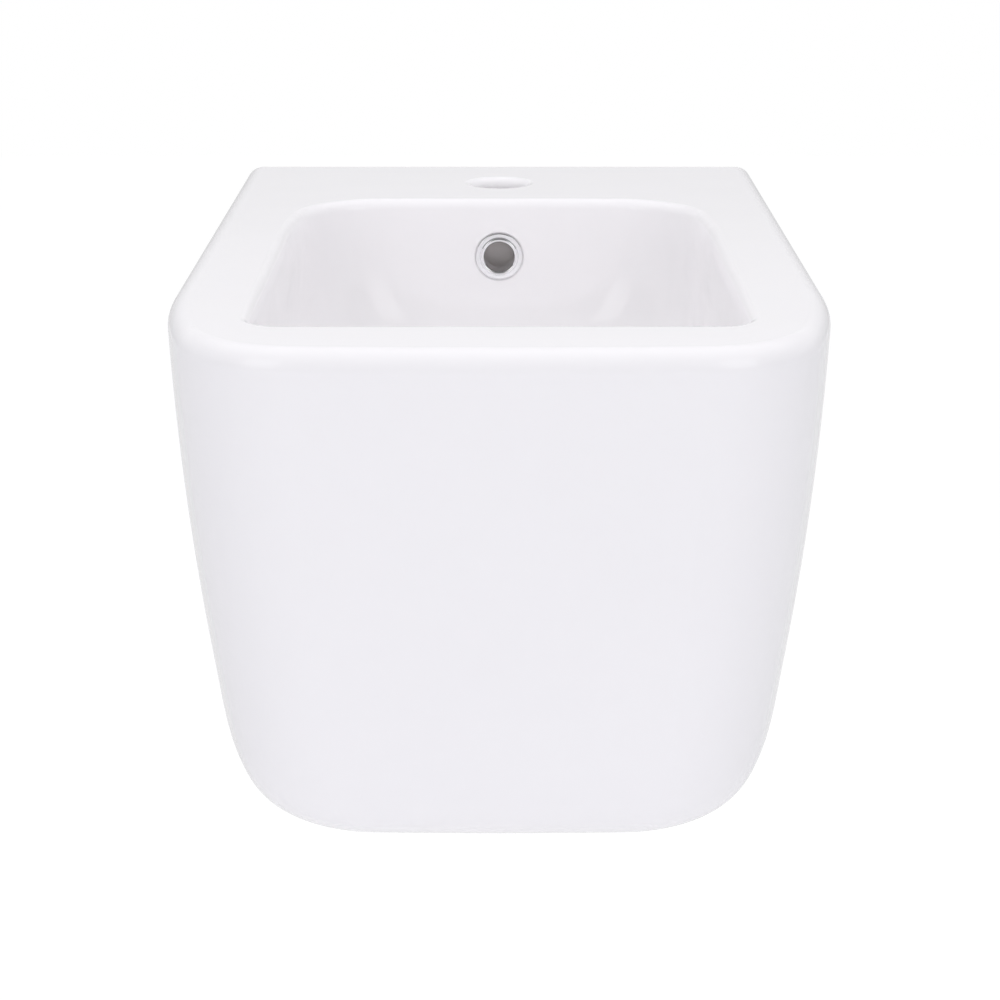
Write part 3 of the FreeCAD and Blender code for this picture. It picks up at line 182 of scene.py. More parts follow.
def leaning(level, rise):
    """A unit vector that points along a level direction and rises by this much."""
    return Vector((level.x, level.y, 0)).normalized() * math.sqrt(1 - rise * rise) + UP * rise


def slipped(wall, normal, growth):
    """How a point of a rounded deck edge moves when the radius grows, from the wall's and its own normal."""
    return growth * (normal - (UP + wall) / (1 + wall.z))


def rise_on(corner, radius):
    """The upward part of the normal at a point of a deck edge that is rounded to this radius."""
    return min(1, max(0, (corner.z - DECK_Z + radius) / radius))


def tree_of(places):
    """A search tree that finds the nearest of these places."""
    found = KDTree(len(places))
    for n, point in enumerate(places):
        found.insert(point, n)
    found.balance()
    return found


# The frame's faces don't share corners, so a joined copy tells which corners touch.
source = nodes["ceramic_body"].data
joined = bmesh.new()
joined.from_mesh(source)
bmesh.ops.remove_doubles(joined, verts=joined.verts, dist=MESH_TOUCH)
joined.normal_update()
joined.verts.index_update()
shifts = {}
facing = {}
for corner in joined.verts:
    inward = (TAP_AXIS - corner.co.xy).to_3d()
    on_edge = corner.co.z > DECK_Z - TAP_ROUND[0] - EDGE_SLACK
    if on_edge and inward.length < TAP_RADIUS + TAP_ROUND[0] + EDGE_SLACK:
        normal = leaning(inward, rise_on(corner.co, TAP_ROUND[0]))
        facing[corner.index] = normal
        shifts[corner.index] = slipped(inward.normalized(), normal, TAP_ROUND[1] - TAP_ROUND[0])

basin = [corner for corner in joined.verts if corner.co.z > BOWL_LOW_Z
         and RIM_LOW.x < corner.co.x < RIM_HIGH.x and RIM_LOW.y < corner.co.y < RIM_HIGH.y]
rim = [corner for corner in basin if corner.co.z > DECK_Z - RIM_ROUND[0] - EDGE_SLACK]
in_basin = set(basin)
on_rim = set(rim)
walls = [corner for corner in basin
         if corner not in on_rim and corner.normal.dot(BOWL_HEART - corner.co) > 0]
foot = [corner for corner in rim if any(
    edge.other_vert(corner) not in on_rim and edge.other_vert(corner).co.z < corner.co.z - EDGE_SLACK
    for edge in corner.link_edges)]
nearest = tree_of([corner.co.xy.to_3d() for corner in foot])
for corner in [*rim, *walls]:
    below = foot[nearest.find(corner.co.xy.to_3d())[1]]
    wall = leaning(below.normal, rise_on(below.co, RIM_ROUND[0]))
    share = (corner.co.y - RIM_FRONT_Y[0]) / (RIM_FRONT_Y[1] - RIM_FRONT_Y[0])
    growth = min(1, max(0, share)) * (RIM_ROUND[1] - RIM_ROUND[0])
    if corner in on_rim:
        facing[corner.index] = leaning(wall, max(wall.z, rise_on(corner.co, RIM_ROUND[0])))
        shifts[corner.index] = slipped(wall, facing[corner.index], growth)
    elif corner.co.z > SLIDE_END_Z:
        fade = min(1, (corner.co.z - SLIDE_END_Z) / (below.co.z - SLIDE_END_Z))
        shifts[corner.index] = slipped(wall, wall, growth * fade)

# On the basin's walls and the outer edge of the deck each corner takes the direction of its larger faces
# and a share of its neighbours', the nearer the more, so that the long thin faces of the mesh don't show as
# streaks in the glaze. The flat of the deck stays level.
outer_edge = []
for corner in joined.verts:
    settled = corner.index in facing or corner in in_basin
    if settled or corner.co.z < EDGE_LOW_Z or corner.co.y > EDGE_BACK_Y:
        continue
    outward = (corner.co - BOWL_HEART).xy.normalized()
    if corner.co.z > DECK_Z - MESH_TOUCH:
        facing[corner.index] = UP
    elif corner.normal.xy.dot(outward) > EDGE_TOWARD:
        outer_edge.append(corner)
smoothed = [corner for corner in walls if abs(corner.co.x) > BOWL_HALF_FLAT] + outer_edge
beside = {}
for corner in smoothed:
    flat = [face for face in corner.link_faces if face.normal.dot(corner.normal) > SAME_SURFACE]
    facing[corner.index] = sum((face.normal * face.calc_area() for face in flat), Vector()).normalized()
    beside[corner.index] = [(edge.other_vert(corner).index, BLEND_REACH / edge.calc_length())
                            for edge in corner.link_edges]
for _ in range(BLEND_PASSES):
    blended = {}
    for here, rows in beside.items():
        near = [(facing[there], share) for there, share in rows if there in facing]
        alike = [way * share for way, share in near if way.dot(facing[here]) > SAME_SURFACE]
        blended[here] = sum(alike, facing[here]).normalized()
    facing.update(blended)

# Along the outer edge the rounding itself says how far each corner faces up.
for corner in outer_edge:
    facing[corner.index] = leaning(facing[corner.index], (corner.co.z - DECK_Z + EDGE_ROUND) / EDGE_ROUND)

touching = tree_of([corner.co for corner in joined.verts])
joined.free()
casting = source.copy()
owners = [touching.find(corner.co)[1] for corner in casting.vertices]
for corner in casting.vertices:
    corner.co += shifts.get(owners[corner.index], Vector())
casting.normals_split_custom_set([
    facing.get(owners[loop.vertex_index], source.corner_normals[n].vector)
    for n, loop in enumerate(source.loops)])
placed("eased_casting", casting, china, "bidet", "ceramic_body")

# The overflow grip: a short ribbed sleeve moulded in rubber. It is pushed over the back of the overflow
# ring, and its ribs are squeezed in the hole in the china, so the ring holds without glue.
RUBBER_BLACK = "#202021"
RUBBER_BLOOM = "#303031"
RUBBER_ROUGHNESS = (0.58, 0.8)
RUBBER_BLOOM_MM = 7
# The moulded grain is about 0.3 mm across, which is too fine to show, so it is drawn at three times that.
RUBBER_GRAIN_MM = 0.9
RUBBER_GRAIN_HEIGHT = 0.00004


def give(node, material):
    """Gives a piece of the frame its finish."""
    nodes[node].material_slots[0].material = material


# Moulded EPDM rubber: nearly black and matt, with a faint grey bloom and a fine grain from the mould.
rubber, tree = blank("epdm_rubber_moulded")
place = add(tree, "ShaderNodeTexCoord").outputs["Object"]
bloom = add(tree, "ShaderNodeTexNoise", {"Vector": place, "Scale": per(RUBBER_BLOOM_MM), "Detail": 3})
grain = add(tree, "ShaderNodeTexNoise", {"Vector": place, "Scale": per(RUBBER_GRAIN_MM), "Detail": 1})
colour = add(tree, "ShaderNodeMix", {0: bloom.outputs[0], 6: linear(RUBBER_BLACK), 7: linear(RUBBER_BLOOM)},
             data_type="RGBA")
rough = add(tree, "ShaderNodeMapRange", {0: bloom.outputs[0], 3: RUBBER_ROUGHNESS[0], 4: RUBBER_ROUGHNESS[1]})
pitted = add(tree, "ShaderNodeBump", {"Height": grain.outputs[0], "Distance": RUBBER_GRAIN_HEIGHT})
surface = add(tree, "ShaderNodeBsdfPrincipled", {"Base Color": colour.outputs[2],
                                                 "Roughness": rough.outputs[0], "Normal": pitted.outputs[0]})
add(tree, "ShaderNodeOutputMaterial", {"Surface": surface.outputs[0]})
give("overflow_grip", rubber)

# The overflow ring: a trim ring with a round bead, pressed from thin brass, polished and chromed.
# It sits in a shallow flat round the overflow hole and covers the cut edge of the china.
CHROME_BRIGHT = "#f4f4f5"
CHROME_DULL = "#ececee"
CHROME_ROUGHNESS = (0.03, 0.11)
CHROME_SMEAR_MM = 9
CHROME_RIPPLE_MM = 1.6
CHROME_RIPPLE_HEIGHT = 0.0000015

# Bright chrome over polished brass: a cool grey mirror. Wiping leaves faint smears that soften it in places,
# and the buffing under the plate leaves a very slight ripple.
chrome, tree = blank("brass_chrome_plated")
place = add(tree, "ShaderNodeTexCoord").outputs["Object"]
smear = add(tree, "ShaderNodeTexNoise", {"Vector": place, "Scale": per(CHROME_SMEAR_MM), "Detail": 4})
ripple = add(tree, "ShaderNodeTexNoise", {"Vector": place, "Scale": per(CHROME_RIPPLE_MM), "Detail": 1})
colour = add(tree, "ShaderNodeMix", {0: smear.outputs[0], 6: linear(CHROME_BRIGHT), 7: linear(CHROME_DULL)},
             data_type="RGBA")
rough = add(tree, "ShaderNodeMapRange", {0: smear.outputs[0], 3: CHROME_ROUGHNESS[0], 4: CHROME_ROUGHNESS[1]})
buffed = add(tree, "ShaderNodeBump", {"Height": ripple.outputs[0], "Distance": CHROME_RIPPLE_HEIGHT})
surface = add(tree, "ShaderNodeBsdfPrincipled", {"Base Color": colour.outputs[2], "Metallic": 1,
                                                 "Roughness": rough.outputs[0], "Normal": buffed.outputs[0]})
add(tree, "ShaderNodeOutputMaterial", {"Surface": surface.outputs[0]})
give("overflow_ring", chrome)

# The waste's flat seal: a washer cut from rubber sheet, laid in the recess of the basin floor.
# The flange of the waste presses it down.
give("waste_flange_seal", rubber)

# The waste: a flanged brass tube with four overflow windows and a three-armed spider, turned and chromed.
# It drops through the basin floor, and its tail carries the 1 1/4 inch pipe thread for the trap.
WASTE_AXIS = (0, -0.262)
TUBE_RADIUS = 0.02095
TAIL_LOW_Z = -0.136
TAIL_HIGH_Z = -0.112
PIPE_PITCH = 0.002309
PIPE_ROOT = 0.01948
PIPE_STEPS = 96
# The undercut over the thread: its radius in the frame, and its radius on the piece, below the thread's root.
UNDERCUT = (0.02035, 0.0192)
RADIUS_TOUCH = 0.00002
SHARP_ANGLE = 30
# A thread's section: its foot and crest as shares of the pitch, how far its foot is sunk in the core, and
# the share of a turn in which it runs out at each end.
THREAD_FOOT = 0.75
THREAD_CREST = 0.125
THREAD_SUNK = 0.00008
THREAD_RUN_OUT = 0.5


def skinned(rings, closed=False):
    """Points and faces of a solid whose skin runs over a row of like rings, with flat ends if it is open."""
    size = len(rings[0])
    points = [point for ring in rings for point in ring]
    faces = []
    for n in range(len(rings) if closed else len(rings) - 1):
        near = n * size
        far = (n + 1) % len(rings) * size
        for k in range(size):
            after = (k + 1) % size
            faces.append([near + k, near + after, far + after, far + k])
    if not closed:
        faces.append(list(range(size)))
        faces.append(list(range(len(points) - size, len(points))))
    return points, faces


def thread(root, crest, pitch, low, high, steps):
    """A right-hand screw thread's ridge on an upright axis, from one height to another."""
    count = round((high - low) / pitch * steps)
    run_out = THREAD_RUN_OUT * steps
    foot = THREAD_FOOT * pitch / 2
    tip = THREAD_CREST * pitch / 2
    rings = []
    for n in range(count + 1):
        angle = 2 * math.pi * n / steps
        height = low + pitch * n / steps
        top = root + (crest - root) * min(1, n / run_out, (count - n) / run_out)
        section = [(root - THREAD_SUNK, -foot), (top, -tip), (top, tip), (root - THREAD_SUNK, foot)]
        rings.append([(r * math.cos(angle), r * math.sin(angle), height + rise) for r, rise in section])
    return skinned(rings)


def fill(work, shell, move):
    """Puts a shell of points and faces into a mesh, moved to its place, with its faces turned outward."""
    points, faces = shell
    corners = [work.verts.new(move @ Vector(point)) for point in points]
    made = [work.faces.new([corners[n] for n in face]) for face in faces]
    bmesh.ops.recalc_face_normals(work, faces=made)


def finished(name, work, material, body, node):
    """Turns what was built into a piece, smooth but for its sharp edges."""
    mesh = bpy.data.meshes.new(name)
    work.to_mesh(mesh)
    work.free()
    mesh.polygons.foreach_set("use_smooth", [True] * len(mesh.polygons))
    mesh.set_sharp_from_angle(angle=math.radians(SHARP_ANGLE))
    return placed(name, mesh, material, body, node)


# The frame's tube is plain. Its tail is turned down to the thread's root, and the ridge is wound on that.
waste = bmesh.new()
waste.from_mesh(nodes["waste_body"].data)
bmesh.ops.remove_doubles(waste, verts=waste.verts, dist=MESH_TOUCH)
for corner in waste.verts:
    x = corner.co.x - WASTE_AXIS[0]
    y = corner.co.y - WASTE_AXIS[1]
    radius = math.hypot(x, y)
    on_tail = abs(radius - TUBE_RADIUS) < RADIUS_TOUCH and corner.co.z < TAIL_HIGH_Z + RADIUS_TOUCH
    in_undercut = abs(radius - UNDERCUT[0]) < RADIUS_TOUCH
    if on_tail or in_undercut:
        scale = (PIPE_ROOT if on_tail else UNDERCUT[1]) / radius
        corner.co.x = WASTE_AXIS[0] + x * scale
        corner.co.y = WASTE_AXIS[1] + y * scale
on_waste = Matrix.Translation((*WASTE_AXIS, 0))
tail = thread(PIPE_ROOT, TUBE_RADIUS, PIPE_PITCH, TAIL_LOW_Z + PIPE_PITCH / 2, TAIL_HIGH_Z - PIPE_PITCH / 2,
              PIPE_STEPS)
fill(waste, tail, on_waste)
finished("threaded_waste", waste, chrome, "bidet", "waste_body")

# The cone seal: a thick rubber ring with a neck, pushed up the tube against the foot of the china.
# It seals the waste hole from below.
give("waste_cone_seal", rubber)

# The slip ring: a thin white ring moulded in polyethylene, between the rubber and the nut.
# The nut turns on it without dragging the seal round.
PLASTIC_WHITE = "#e9e8e3"
PLASTIC_SHADE = "#dfded8"
PLASTIC_ROUGHNESS = (0.3, 0.48)
PLASTIC_FLOW_MM = 18
# The spark-eroded mould leaves a texture near 0.2 mm; it is drawn at 0.7 mm so that it shows.
PLASTIC_TEXTURE_MM = 0.7
PLASTIC_TEXTURE_HEIGHT = 0.00001

# Moulded polyethylene: a warm white with a satin skin, slightly uneven where the melt flowed.
plastic, tree = blank("polyethylene_moulded")
place = add(tree, "ShaderNodeTexCoord").outputs["Object"]
flow = add(tree, "ShaderNodeTexNoise", {"Vector": place, "Scale": per(PLASTIC_FLOW_MM), "Detail": 2})
eroded = add(tree, "ShaderNodeTexNoise", {"Vector": place, "Scale": per(PLASTIC_TEXTURE_MM), "Detail": 1})
colour = add(tree, "ShaderNodeMix", {0: flow.outputs[0], 6: linear(PLASTIC_WHITE), 7: linear(PLASTIC_SHADE)},
             data_type="RGBA")
rough = add(tree, "ShaderNodeMapRange", {0: flow.outputs[0], 3: PLASTIC_ROUGHNESS[0],
                                         4: PLASTIC_ROUGHNESS[1]})
satin = add(tree, "ShaderNodeBump", {"Height": eroded.outputs[0], "Distance": PLASTIC_TEXTURE_HEIGHT})
surface = add(tree, "ShaderNodeBsdfPrincipled", {"Base Color": colour.outputs[2],
                                                 "Roughness": rough.outputs[0], "Normal": satin.outputs[0]})
add(tree, "ShaderNodeOutputMaterial", {"Surface": surface.outputs[0]})
give("waste_slip_ring", plastic)

# The back nut: a low hexagon nut turned from brass bar, run up the tube to clamp the waste to the china.
# Both faces are turned at 30 degrees, which rounds off the six corners.
BACK_NUT_FLATS = 0.052
BACK_NUT_BORE = 0.02105
BACK_NUT_LOW_Z = -0.1095
BACK_NUT_HIGH_Z = -0.0995
NUT_STEPS = 96
NUT_SLOPE = math.tan(math.radians(30))
# The flat of a nut's face as a share of its width over flats, and the bevel at the bore as a share of it.
NUT_FACE = 0.95
NUT_MOUTH = 0.06
BRASS_LIGHT = "#d3b36e"
BRASS_DARK = "#bb9652"
BRASS_ROUGHNESS = (0.2, 0.38)
BRASS_TARNISH_MM = 11
# The tool's feed is near 0.15 mm a turn; its grooves are drawn at 0.5 mm so that they show.
BRASS_FEED_MM = 0.5
BRASS_GROOVE_HEIGHT = 0.000003

# Brass bar, turned and left bare: a yellow metal with fine rings from the tool and slight brown tarnish.
brass, tree = blank("brass_turned")
place = add(tree, "ShaderNodeTexCoord").outputs["Object"]
tarnish = add(tree, "ShaderNodeTexNoise", {"Vector": place, "Scale": per(BRASS_TARNISH_MM), "Detail": 4})
turned_at = add(tree, "ShaderNodeVectorMath", {0: place, 1: (*WASTE_AXIS, 0)}, operation="SUBTRACT")
across = add(tree, "ShaderNodeVectorMath", {0: turned_at.outputs[0], 1: (1, 1, 0)}, operation="MULTIPLY")
reach = add(tree, "ShaderNodeVectorMath", {0: across.outputs[0]}, operation="LENGTH")
height = add(tree, "ShaderNodeSeparateXYZ", {0: turned_at.outputs[0]})
feed = add(tree, "ShaderNodeMath", {0: reach.outputs["Value"], 1: height.outputs["Z"]}, operation="ADD")
phase = add(tree, "ShaderNodeMath", {0: feed.outputs[0], 1: 2 * math.pi * per(BRASS_FEED_MM)},
            operation="MULTIPLY")
groove = add(tree, "ShaderNodeMath", {0: phase.outputs[0]}, operation="SINE")
colour = add(tree, "ShaderNodeMix", {0: tarnish.outputs[0], 6: linear(BRASS_LIGHT), 7: linear(BRASS_DARK)},
             data_type="RGBA")
rough = add(tree, "ShaderNodeMapRange", {0: tarnish.outputs[0], 3: BRASS_ROUGHNESS[0], 4: BRASS_ROUGHNESS[1]})
grooved = add(tree, "ShaderNodeBump", {"Height": groove.outputs[0], "Distance": BRASS_GROOVE_HEIGHT})
surface = add(tree, "ShaderNodeBsdfPrincipled", {"Base Color": colour.outputs[2], "Metallic": 1,
                                                 "Roughness": rough.outputs[0], "Normal": grooved.outputs[0]})
add(tree, "ShaderNodeOutputMaterial", {"Surface": surface.outputs[0]})


def hexagon_nut(flats, bore, low, high):
    """A hexagon nut on an upright axis, its outer corners turned off and its bore opened at both faces."""
    half = flats / 2
    face = NUT_FACE * half
    mouth = NUT_MOUTH * bore
    turn = math.pi / 3
    angles = [2 * math.pi * n / NUT_STEPS for n in range(NUT_STEPS)]
    sides = [half / math.cos((angle + turn / 2) % turn - turn / 2) for angle in angles]
    drops = [(side - face) * NUT_SLOPE for side in sides]

    def ring(radii, heights):
        return [(r * math.cos(a), r * math.sin(a), z) for r, a, z in zip(radii, angles, heights)]

    def round_ring(radius, height):
        return ring([radius] * NUT_STEPS, [height] * NUT_STEPS)

    return skinned([
        round_ring(bore, low + mouth), round_ring(bore, high - mouth), round_ring(bore + mouth, high),
        round_ring(face, high), ring(sides, [high - drop for drop in drops]),
        ring(sides, [low + drop for drop in drops]), round_ring(face, low), round_ring(bore + mouth, low),
    ], closed=True)


nut = bmesh.new()
fill(nut, hexagon_nut(BACK_NUT_FLATS, BACK_NUT_BORE, BACK_NUT_LOW_Z, BACK_NUT_HIGH_Z), on_waste)
finished("chamfered_back_nut", nut, brass, "bidet", "waste_back_nut")

# The latch barrel: a closed cup turned from brass, with a stub screwed into the hub of the spider.
# It holds the spring, the rotor and the head of the stem.
give("latch_barrel", brass)

# The spring: one stainless wire wound into a coil with a closed turn at each end, under the rotor.
# It is squeezed when the plug goes down.
COIL_RADIUS = 0.00515
WIRE_RADIUS = 0.00055
COIL_LOW_Z = -0.10835
COIL_HIGH_Z = -0.09085
OPEN_TURNS = 5
CLOSED_PITCH = 0.00115
COIL_STEPS = 40
WIRE_SIDES = 12
WIRE_BRIGHT = "#b6b8ba"
WIRE_DULL = "#a2a4a6"
WIRE_ROUGHNESS = (0.2, 0.34)
# The die's streaks are much finer than the wire; they are drawn at half its thickness so that they show.
WIRE_DRAW_MM = 0.6

# Stainless spring wire, cold drawn: a mid-grey metal with a soft shine, streaked by the die.
wire, tree = blank("stainless_wire_drawn")
place = add(tree, "ShaderNodeTexCoord").outputs["Object"]
streak = add(tree, "ShaderNodeTexNoise", {"Vector": place, "Scale": per(WIRE_DRAW_MM), "Detail": 2})
colour = add(tree, "ShaderNodeMix", {0: streak.outputs[0], 6: linear(WIRE_BRIGHT), 7: linear(WIRE_DULL)},
             data_type="RGBA")
rough = add(tree, "ShaderNodeMapRange", {0: streak.outputs[0], 3: WIRE_ROUGHNESS[0], 4: WIRE_ROUGHNESS[1]})
surface = add(tree, "ShaderNodeBsdfPrincipled", {"Base Color": colour.outputs[2], "Metallic": 1,
                                                 "Roughness": rough.outputs[0]})
add(tree, "ShaderNodeOutputMaterial", {"Surface": surface.outputs[0]})

open_rise = COIL_HIGH_Z - COIL_LOW_Z - 2 * CLOSED_PITCH
around = [2 * math.pi * k / WIRE_SIDES for k in range(WIRE_SIDES)]
coil = []
for n in range((OPEN_TURNS + 2) * COIL_STEPS + 1):
    turns = n / COIL_STEPS
    angle = 2 * math.pi * turns
    opened = min(max(turns - 1, 0), OPEN_TURNS)
    rise = opened * open_rise / OPEN_TURNS + (turns - opened) * CLOSED_PITCH
    outward = Vector((math.cos(angle), math.sin(angle), 0))
    middle = outward * COIL_RADIUS + UP * (COIL_LOW_Z + rise)
    coil.append([middle + outward * WIRE_RADIUS * math.cos(a) + UP * WIRE_RADIUS * math.sin(a)
                 for a in around])
wound = bmesh.new()
fill(wound, skinned(coil), on_waste)
spring = finished("wound_spring", wound, wire, "bidet", "plug_spring")
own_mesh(spring)

# The rotor: a small ring with four lugs, moulded in acetal, loose on the foot of the stem.
# Each press turns it by one step, and its lugs hold the plug down or let it rise.
ACETAL_WHITE = "#eeede8"
ACETAL_SHADE = "#e4e3dd"
ACETAL_ROUGHNESS = (0.22, 0.36)
ACETAL_IOR = 1.48
ACETAL_FLOW_MM = 5

# Moulded acetal: a milky white with a slippery half-gloss skin.
acetal, tree = blank("acetal_moulded")
place = add(tree, "ShaderNodeTexCoord").outputs["Object"]
flow = add(tree, "ShaderNodeTexNoise", {"Vector": place, "Scale": per(ACETAL_FLOW_MM), "Detail": 2})
colour = add(tree, "ShaderNodeMix", {0: flow.outputs[0], 6: linear(ACETAL_WHITE), 7: linear(ACETAL_SHADE)},
             data_type="RGBA")
rough = add(tree, "ShaderNodeMapRange", {0: flow.outputs[0], 3: ACETAL_ROUGHNESS[0], 4: ACETAL_ROUGHNESS[1]})
surface = add(tree, "ShaderNodeBsdfPrincipled", {"Base Color": colour.outputs[2], "IOR": ACETAL_IOR,
                                                 "Roughness": rough.outputs[0]})
add(tree, "ShaderNodeOutputMaterial", {"Surface": surface.outputs[0]})
give("latch_rotor", acetal)

# The stem: a brass pin with a head, turned in one piece, that joins the rotor to the cap.
# The head stops under the collar when the plug is up.
give("plug_stem", brass)

# The collar: a flanged bush moulded in acetal, screwed into the top of the barrel.
# It closes the latch and guides the stem.
give("latch_collar", acetal)

# The plug's seal: a square rubber ring held in a groove under the cap.
# It comes down on the flange of the waste.
give("plug_seal", rubber)

# The cap: a domed disc turned from brass, polished and chromed, screwed on the stem.
# It is the only piece of the waste that shows from above when the plug is down.
give("plug_cap", chrome)

# The wall studs: two double-ended steel studs, M12, with rolled threads and a plain shank, zinc plated.
# They are set in the wall frame and pass through the back of the casting.
STUD_X = 0.09
STUD_CREST = 0.006
STUD_ROOT = 0.00493
STUD_SHANK = 0.0054
STUD_END = 0.0044
STUD_PITCH = 0.00175
STUD_STEPS = 48
STUD_WALL_END_Y = 0.072
STUD_SHANK_Y = (-0.036, 0)
STUD_NUT_END_Y = -0.064
STUD_BEVEL = 0.0012
STUD_RUN_OUT = 0.0006
ZINC_LIGHT = "#b9bdc0"
ZINC_BLUE = "#a6adb5"
ZINC_ROUGHNESS = (0.26, 0.46)
ZINC_TINT_MM = 14
# The plate's own grain is too fine to show, so it is drawn about 1 mm across.
ZINC_GRAIN_MM = 1.1
ZINC_GRAIN_HEIGHT = 0.000006

# Zinc-plated steel, blue passivated: a pale grey metal with a satin grain and a drifting blue tint.
zinc, tree = blank("steel_zinc_plated")
place = add(tree, "ShaderNodeTexCoord").outputs["Object"]
drift = add(tree, "ShaderNodeTexNoise", {"Vector": place, "Scale": per(ZINC_TINT_MM), "Detail": 3})
grain = add(tree, "ShaderNodeTexNoise", {"Vector": place, "Scale": per(ZINC_GRAIN_MM), "Detail": 2})
colour = add(tree, "ShaderNodeMix", {0: drift.outputs[0], 6: linear(ZINC_LIGHT), 7: linear(ZINC_BLUE)},
             data_type="RGBA")
rough = add(tree, "ShaderNodeMapRange", {0: grain.outputs[0], 3: ZINC_ROUGHNESS[0], 4: ZINC_ROUGHNESS[1]})
plated = add(tree, "ShaderNodeBump", {"Height": grain.outputs[0], "Distance": ZINC_GRAIN_HEIGHT})
surface = add(tree, "ShaderNodeBsdfPrincipled", {"Base Color": colour.outputs[2], "Metallic": 1,
                                                 "Roughness": rough.outputs[0], "Normal": plated.outputs[0]})
add(tree, "ShaderNodeOutputMaterial", {"Surface": surface.outputs[0]})


def turned(outline, steps, closed=False):
    """A solid turned on an upright axis from an outline of radii and heights."""
    angles = [2 * math.pi * n / steps for n in range(steps)]
    return skinned([[(r * math.cos(a), r * math.sin(a), z) for a in angles] for r, z in outline], closed)


# What stands on a stud is made upright, then laid on the wall's normal.
on_studs = [Matrix.Translation((x, 0, 0)) @ Matrix.Rotation(-math.pi / 2, 4, "X") for x in (-STUD_X, STUD_X)]
core = turned([
    (STUD_END, STUD_WALL_END_Y), (STUD_ROOT, STUD_WALL_END_Y - STUD_BEVEL / 2),
    (STUD_ROOT, STUD_SHANK_Y[1] + STUD_RUN_OUT), (STUD_SHANK, STUD_SHANK_Y[1]),
    (STUD_SHANK, STUD_SHANK_Y[0]), (STUD_ROOT, STUD_SHANK_Y[0] - STUD_RUN_OUT),
    (STUD_ROOT, STUD_NUT_END_Y + STUD_BEVEL / 2), (STUD_END, STUD_NUT_END_Y),
], STUD_STEPS)
wall_thread = thread(STUD_ROOT, STUD_CREST, STUD_PITCH, STUD_SHANK_Y[1] + STUD_PITCH / 2,
                     STUD_WALL_END_Y - STUD_BEVEL, STUD_STEPS)
nut_thread = thread(STUD_ROOT, STUD_CREST, STUD_PITCH, STUD_NUT_END_Y + STUD_BEVEL,
                    STUD_SHANK_Y[0] - STUD_PITCH / 2, STUD_STEPS)
studs = bmesh.new()
for move in on_studs:
    for shell in (core, wall_thread, nut_thread):
        fill(studs, shell, move)
finished("threaded_studs", studs, zinc, "bidet", "wall_studs")

# The stud sleeves: two brimmed bushes moulded in polyethylene, pushed into the holes of the casting.
# They keep the steel off the china.
give("stud_sleeves", plastic)

# The washers: two discs stamped from steel sheet and zinc plated, between the brims and the nuts.
# Stamping leaves their edges slightly rolled.
WASHER_RADIUS = 0.015
WASHER_BORE = 0.0061
WASHER_Y = (-0.0435, -0.041)
WASHER_ROLL = 0.0005
WASHER_STEPS = 96
# Where the middle of the rolled edge lies, as a share of the roll from each side.
ROLL_SHARE = 0.3
washer_ring = []
for radius, side in ((WASHER_BORE, 1), (WASHER_RADIUS, -1)):
    lows = [
        (radius + side * WASHER_ROLL, WASHER_Y[0]),
        (radius + side * WASHER_ROLL * ROLL_SHARE, WASHER_Y[0] + WASHER_ROLL * ROLL_SHARE),
        (radius, WASHER_Y[0] + WASHER_ROLL),
    ]
    highs = [(r, WASHER_Y[0] + WASHER_Y[1] - y) for r, y in reversed(lows)]
    washer_ring += (lows + highs)[::side]
washers = bmesh.new()
for move in on_studs:
    fill(washers, turned(washer_ring, WASHER_STEPS, closed=True), move)
finished("stamped_washers", washers, zinc, "bidet", "fixing_washers")

# The fixing nuts: two M12 hexagon nuts, forged from steel and zinc plated, run up the studs to the washers.
# They pull the casting to the wall.
FIXING_NUT_FLATS = 0.019
FIXING_NUT_BORE = 0.0061
FIXING_NUT_Y = (-0.0535, -0.0435)
nuts = bmesh.new()
for move in on_studs:
    fill(nuts, hexagon_nut(FIXING_NUT_FLATS, FIXING_NUT_BORE, *FIXING_NUT_Y), move)
finished("chamfered_fixing_nuts", nuts, zinc, "bidet", "fixing_nuts")

# The studio floor: a wide pale sheet well under the object, which hangs from its wall studs.
# The camera sees it as white paper, and reflections show it a little dimmer. It keeps a soft share of the
# object's shadow.
FLOOR_Z = -1.2
FLOOR_HALF = 8
FLOOR_PALE = "#f4f4f4"
PAPER_GLOW = 0.94
SHADOW_SHARE = 0.14
FLOOR_MIRRORED = 0.73
floor_mesh = bpy.data.meshes.new("floor")
floor_corners = [(x * FLOOR_HALF, y * FLOOR_HALF, FLOOR_Z) for x, y in ((-1, -1), (1, -1), (1, 1), (-1, 1))]
floor_mesh.from_pydata(floor_corners, [], [(0, 1, 2, 3)])
floor = bpy.data.objects.new("floor", floor_mesh)
bpy.context.scene.collection.objects.link(floor)

# Background paper, matt white: it lights the object as a pale sheet does, but itself shows as plain white.
paper, tree = blank("white_background_paper")
path = add(tree, "ShaderNodeLightPath")
direct = add(tree, "ShaderNodeMath", {0: path.outputs["Is Camera Ray"], 1: path.outputs["Is Glossy Ray"]},
             operation="MAXIMUM")
seen = add(tree, "ShaderNodeMath", {0: direct.outputs[0], 1: path.outputs["Is Transmission Ray"]},
           operation="MAXIMUM")
level = add(tree, "ShaderNodeMix", {0: path.outputs["Is Glossy Ray"], 2: PAPER_GLOW, 3: FLOOR_MIRRORED})
pale = add(tree, "ShaderNodeBsdfDiffuse", {"Color": linear(FLOOR_PALE)})
glow = add(tree, "ShaderNodeEmission", {"Strength": level.outputs[0]})
faint = add(tree, "ShaderNodeBsdfDiffuse", {"Color": (SHADOW_SHARE, SHADOW_SHARE, SHADOW_SHARE, 1)})
white = add(tree, "ShaderNodeAddShader", {0: glow.outputs[0], 1: faint.outputs[0]})
either = add(tree, "ShaderNodeMixShader", {0: seen.outputs[0], 1: pale.outputs[0], 2: white.outputs[0]})
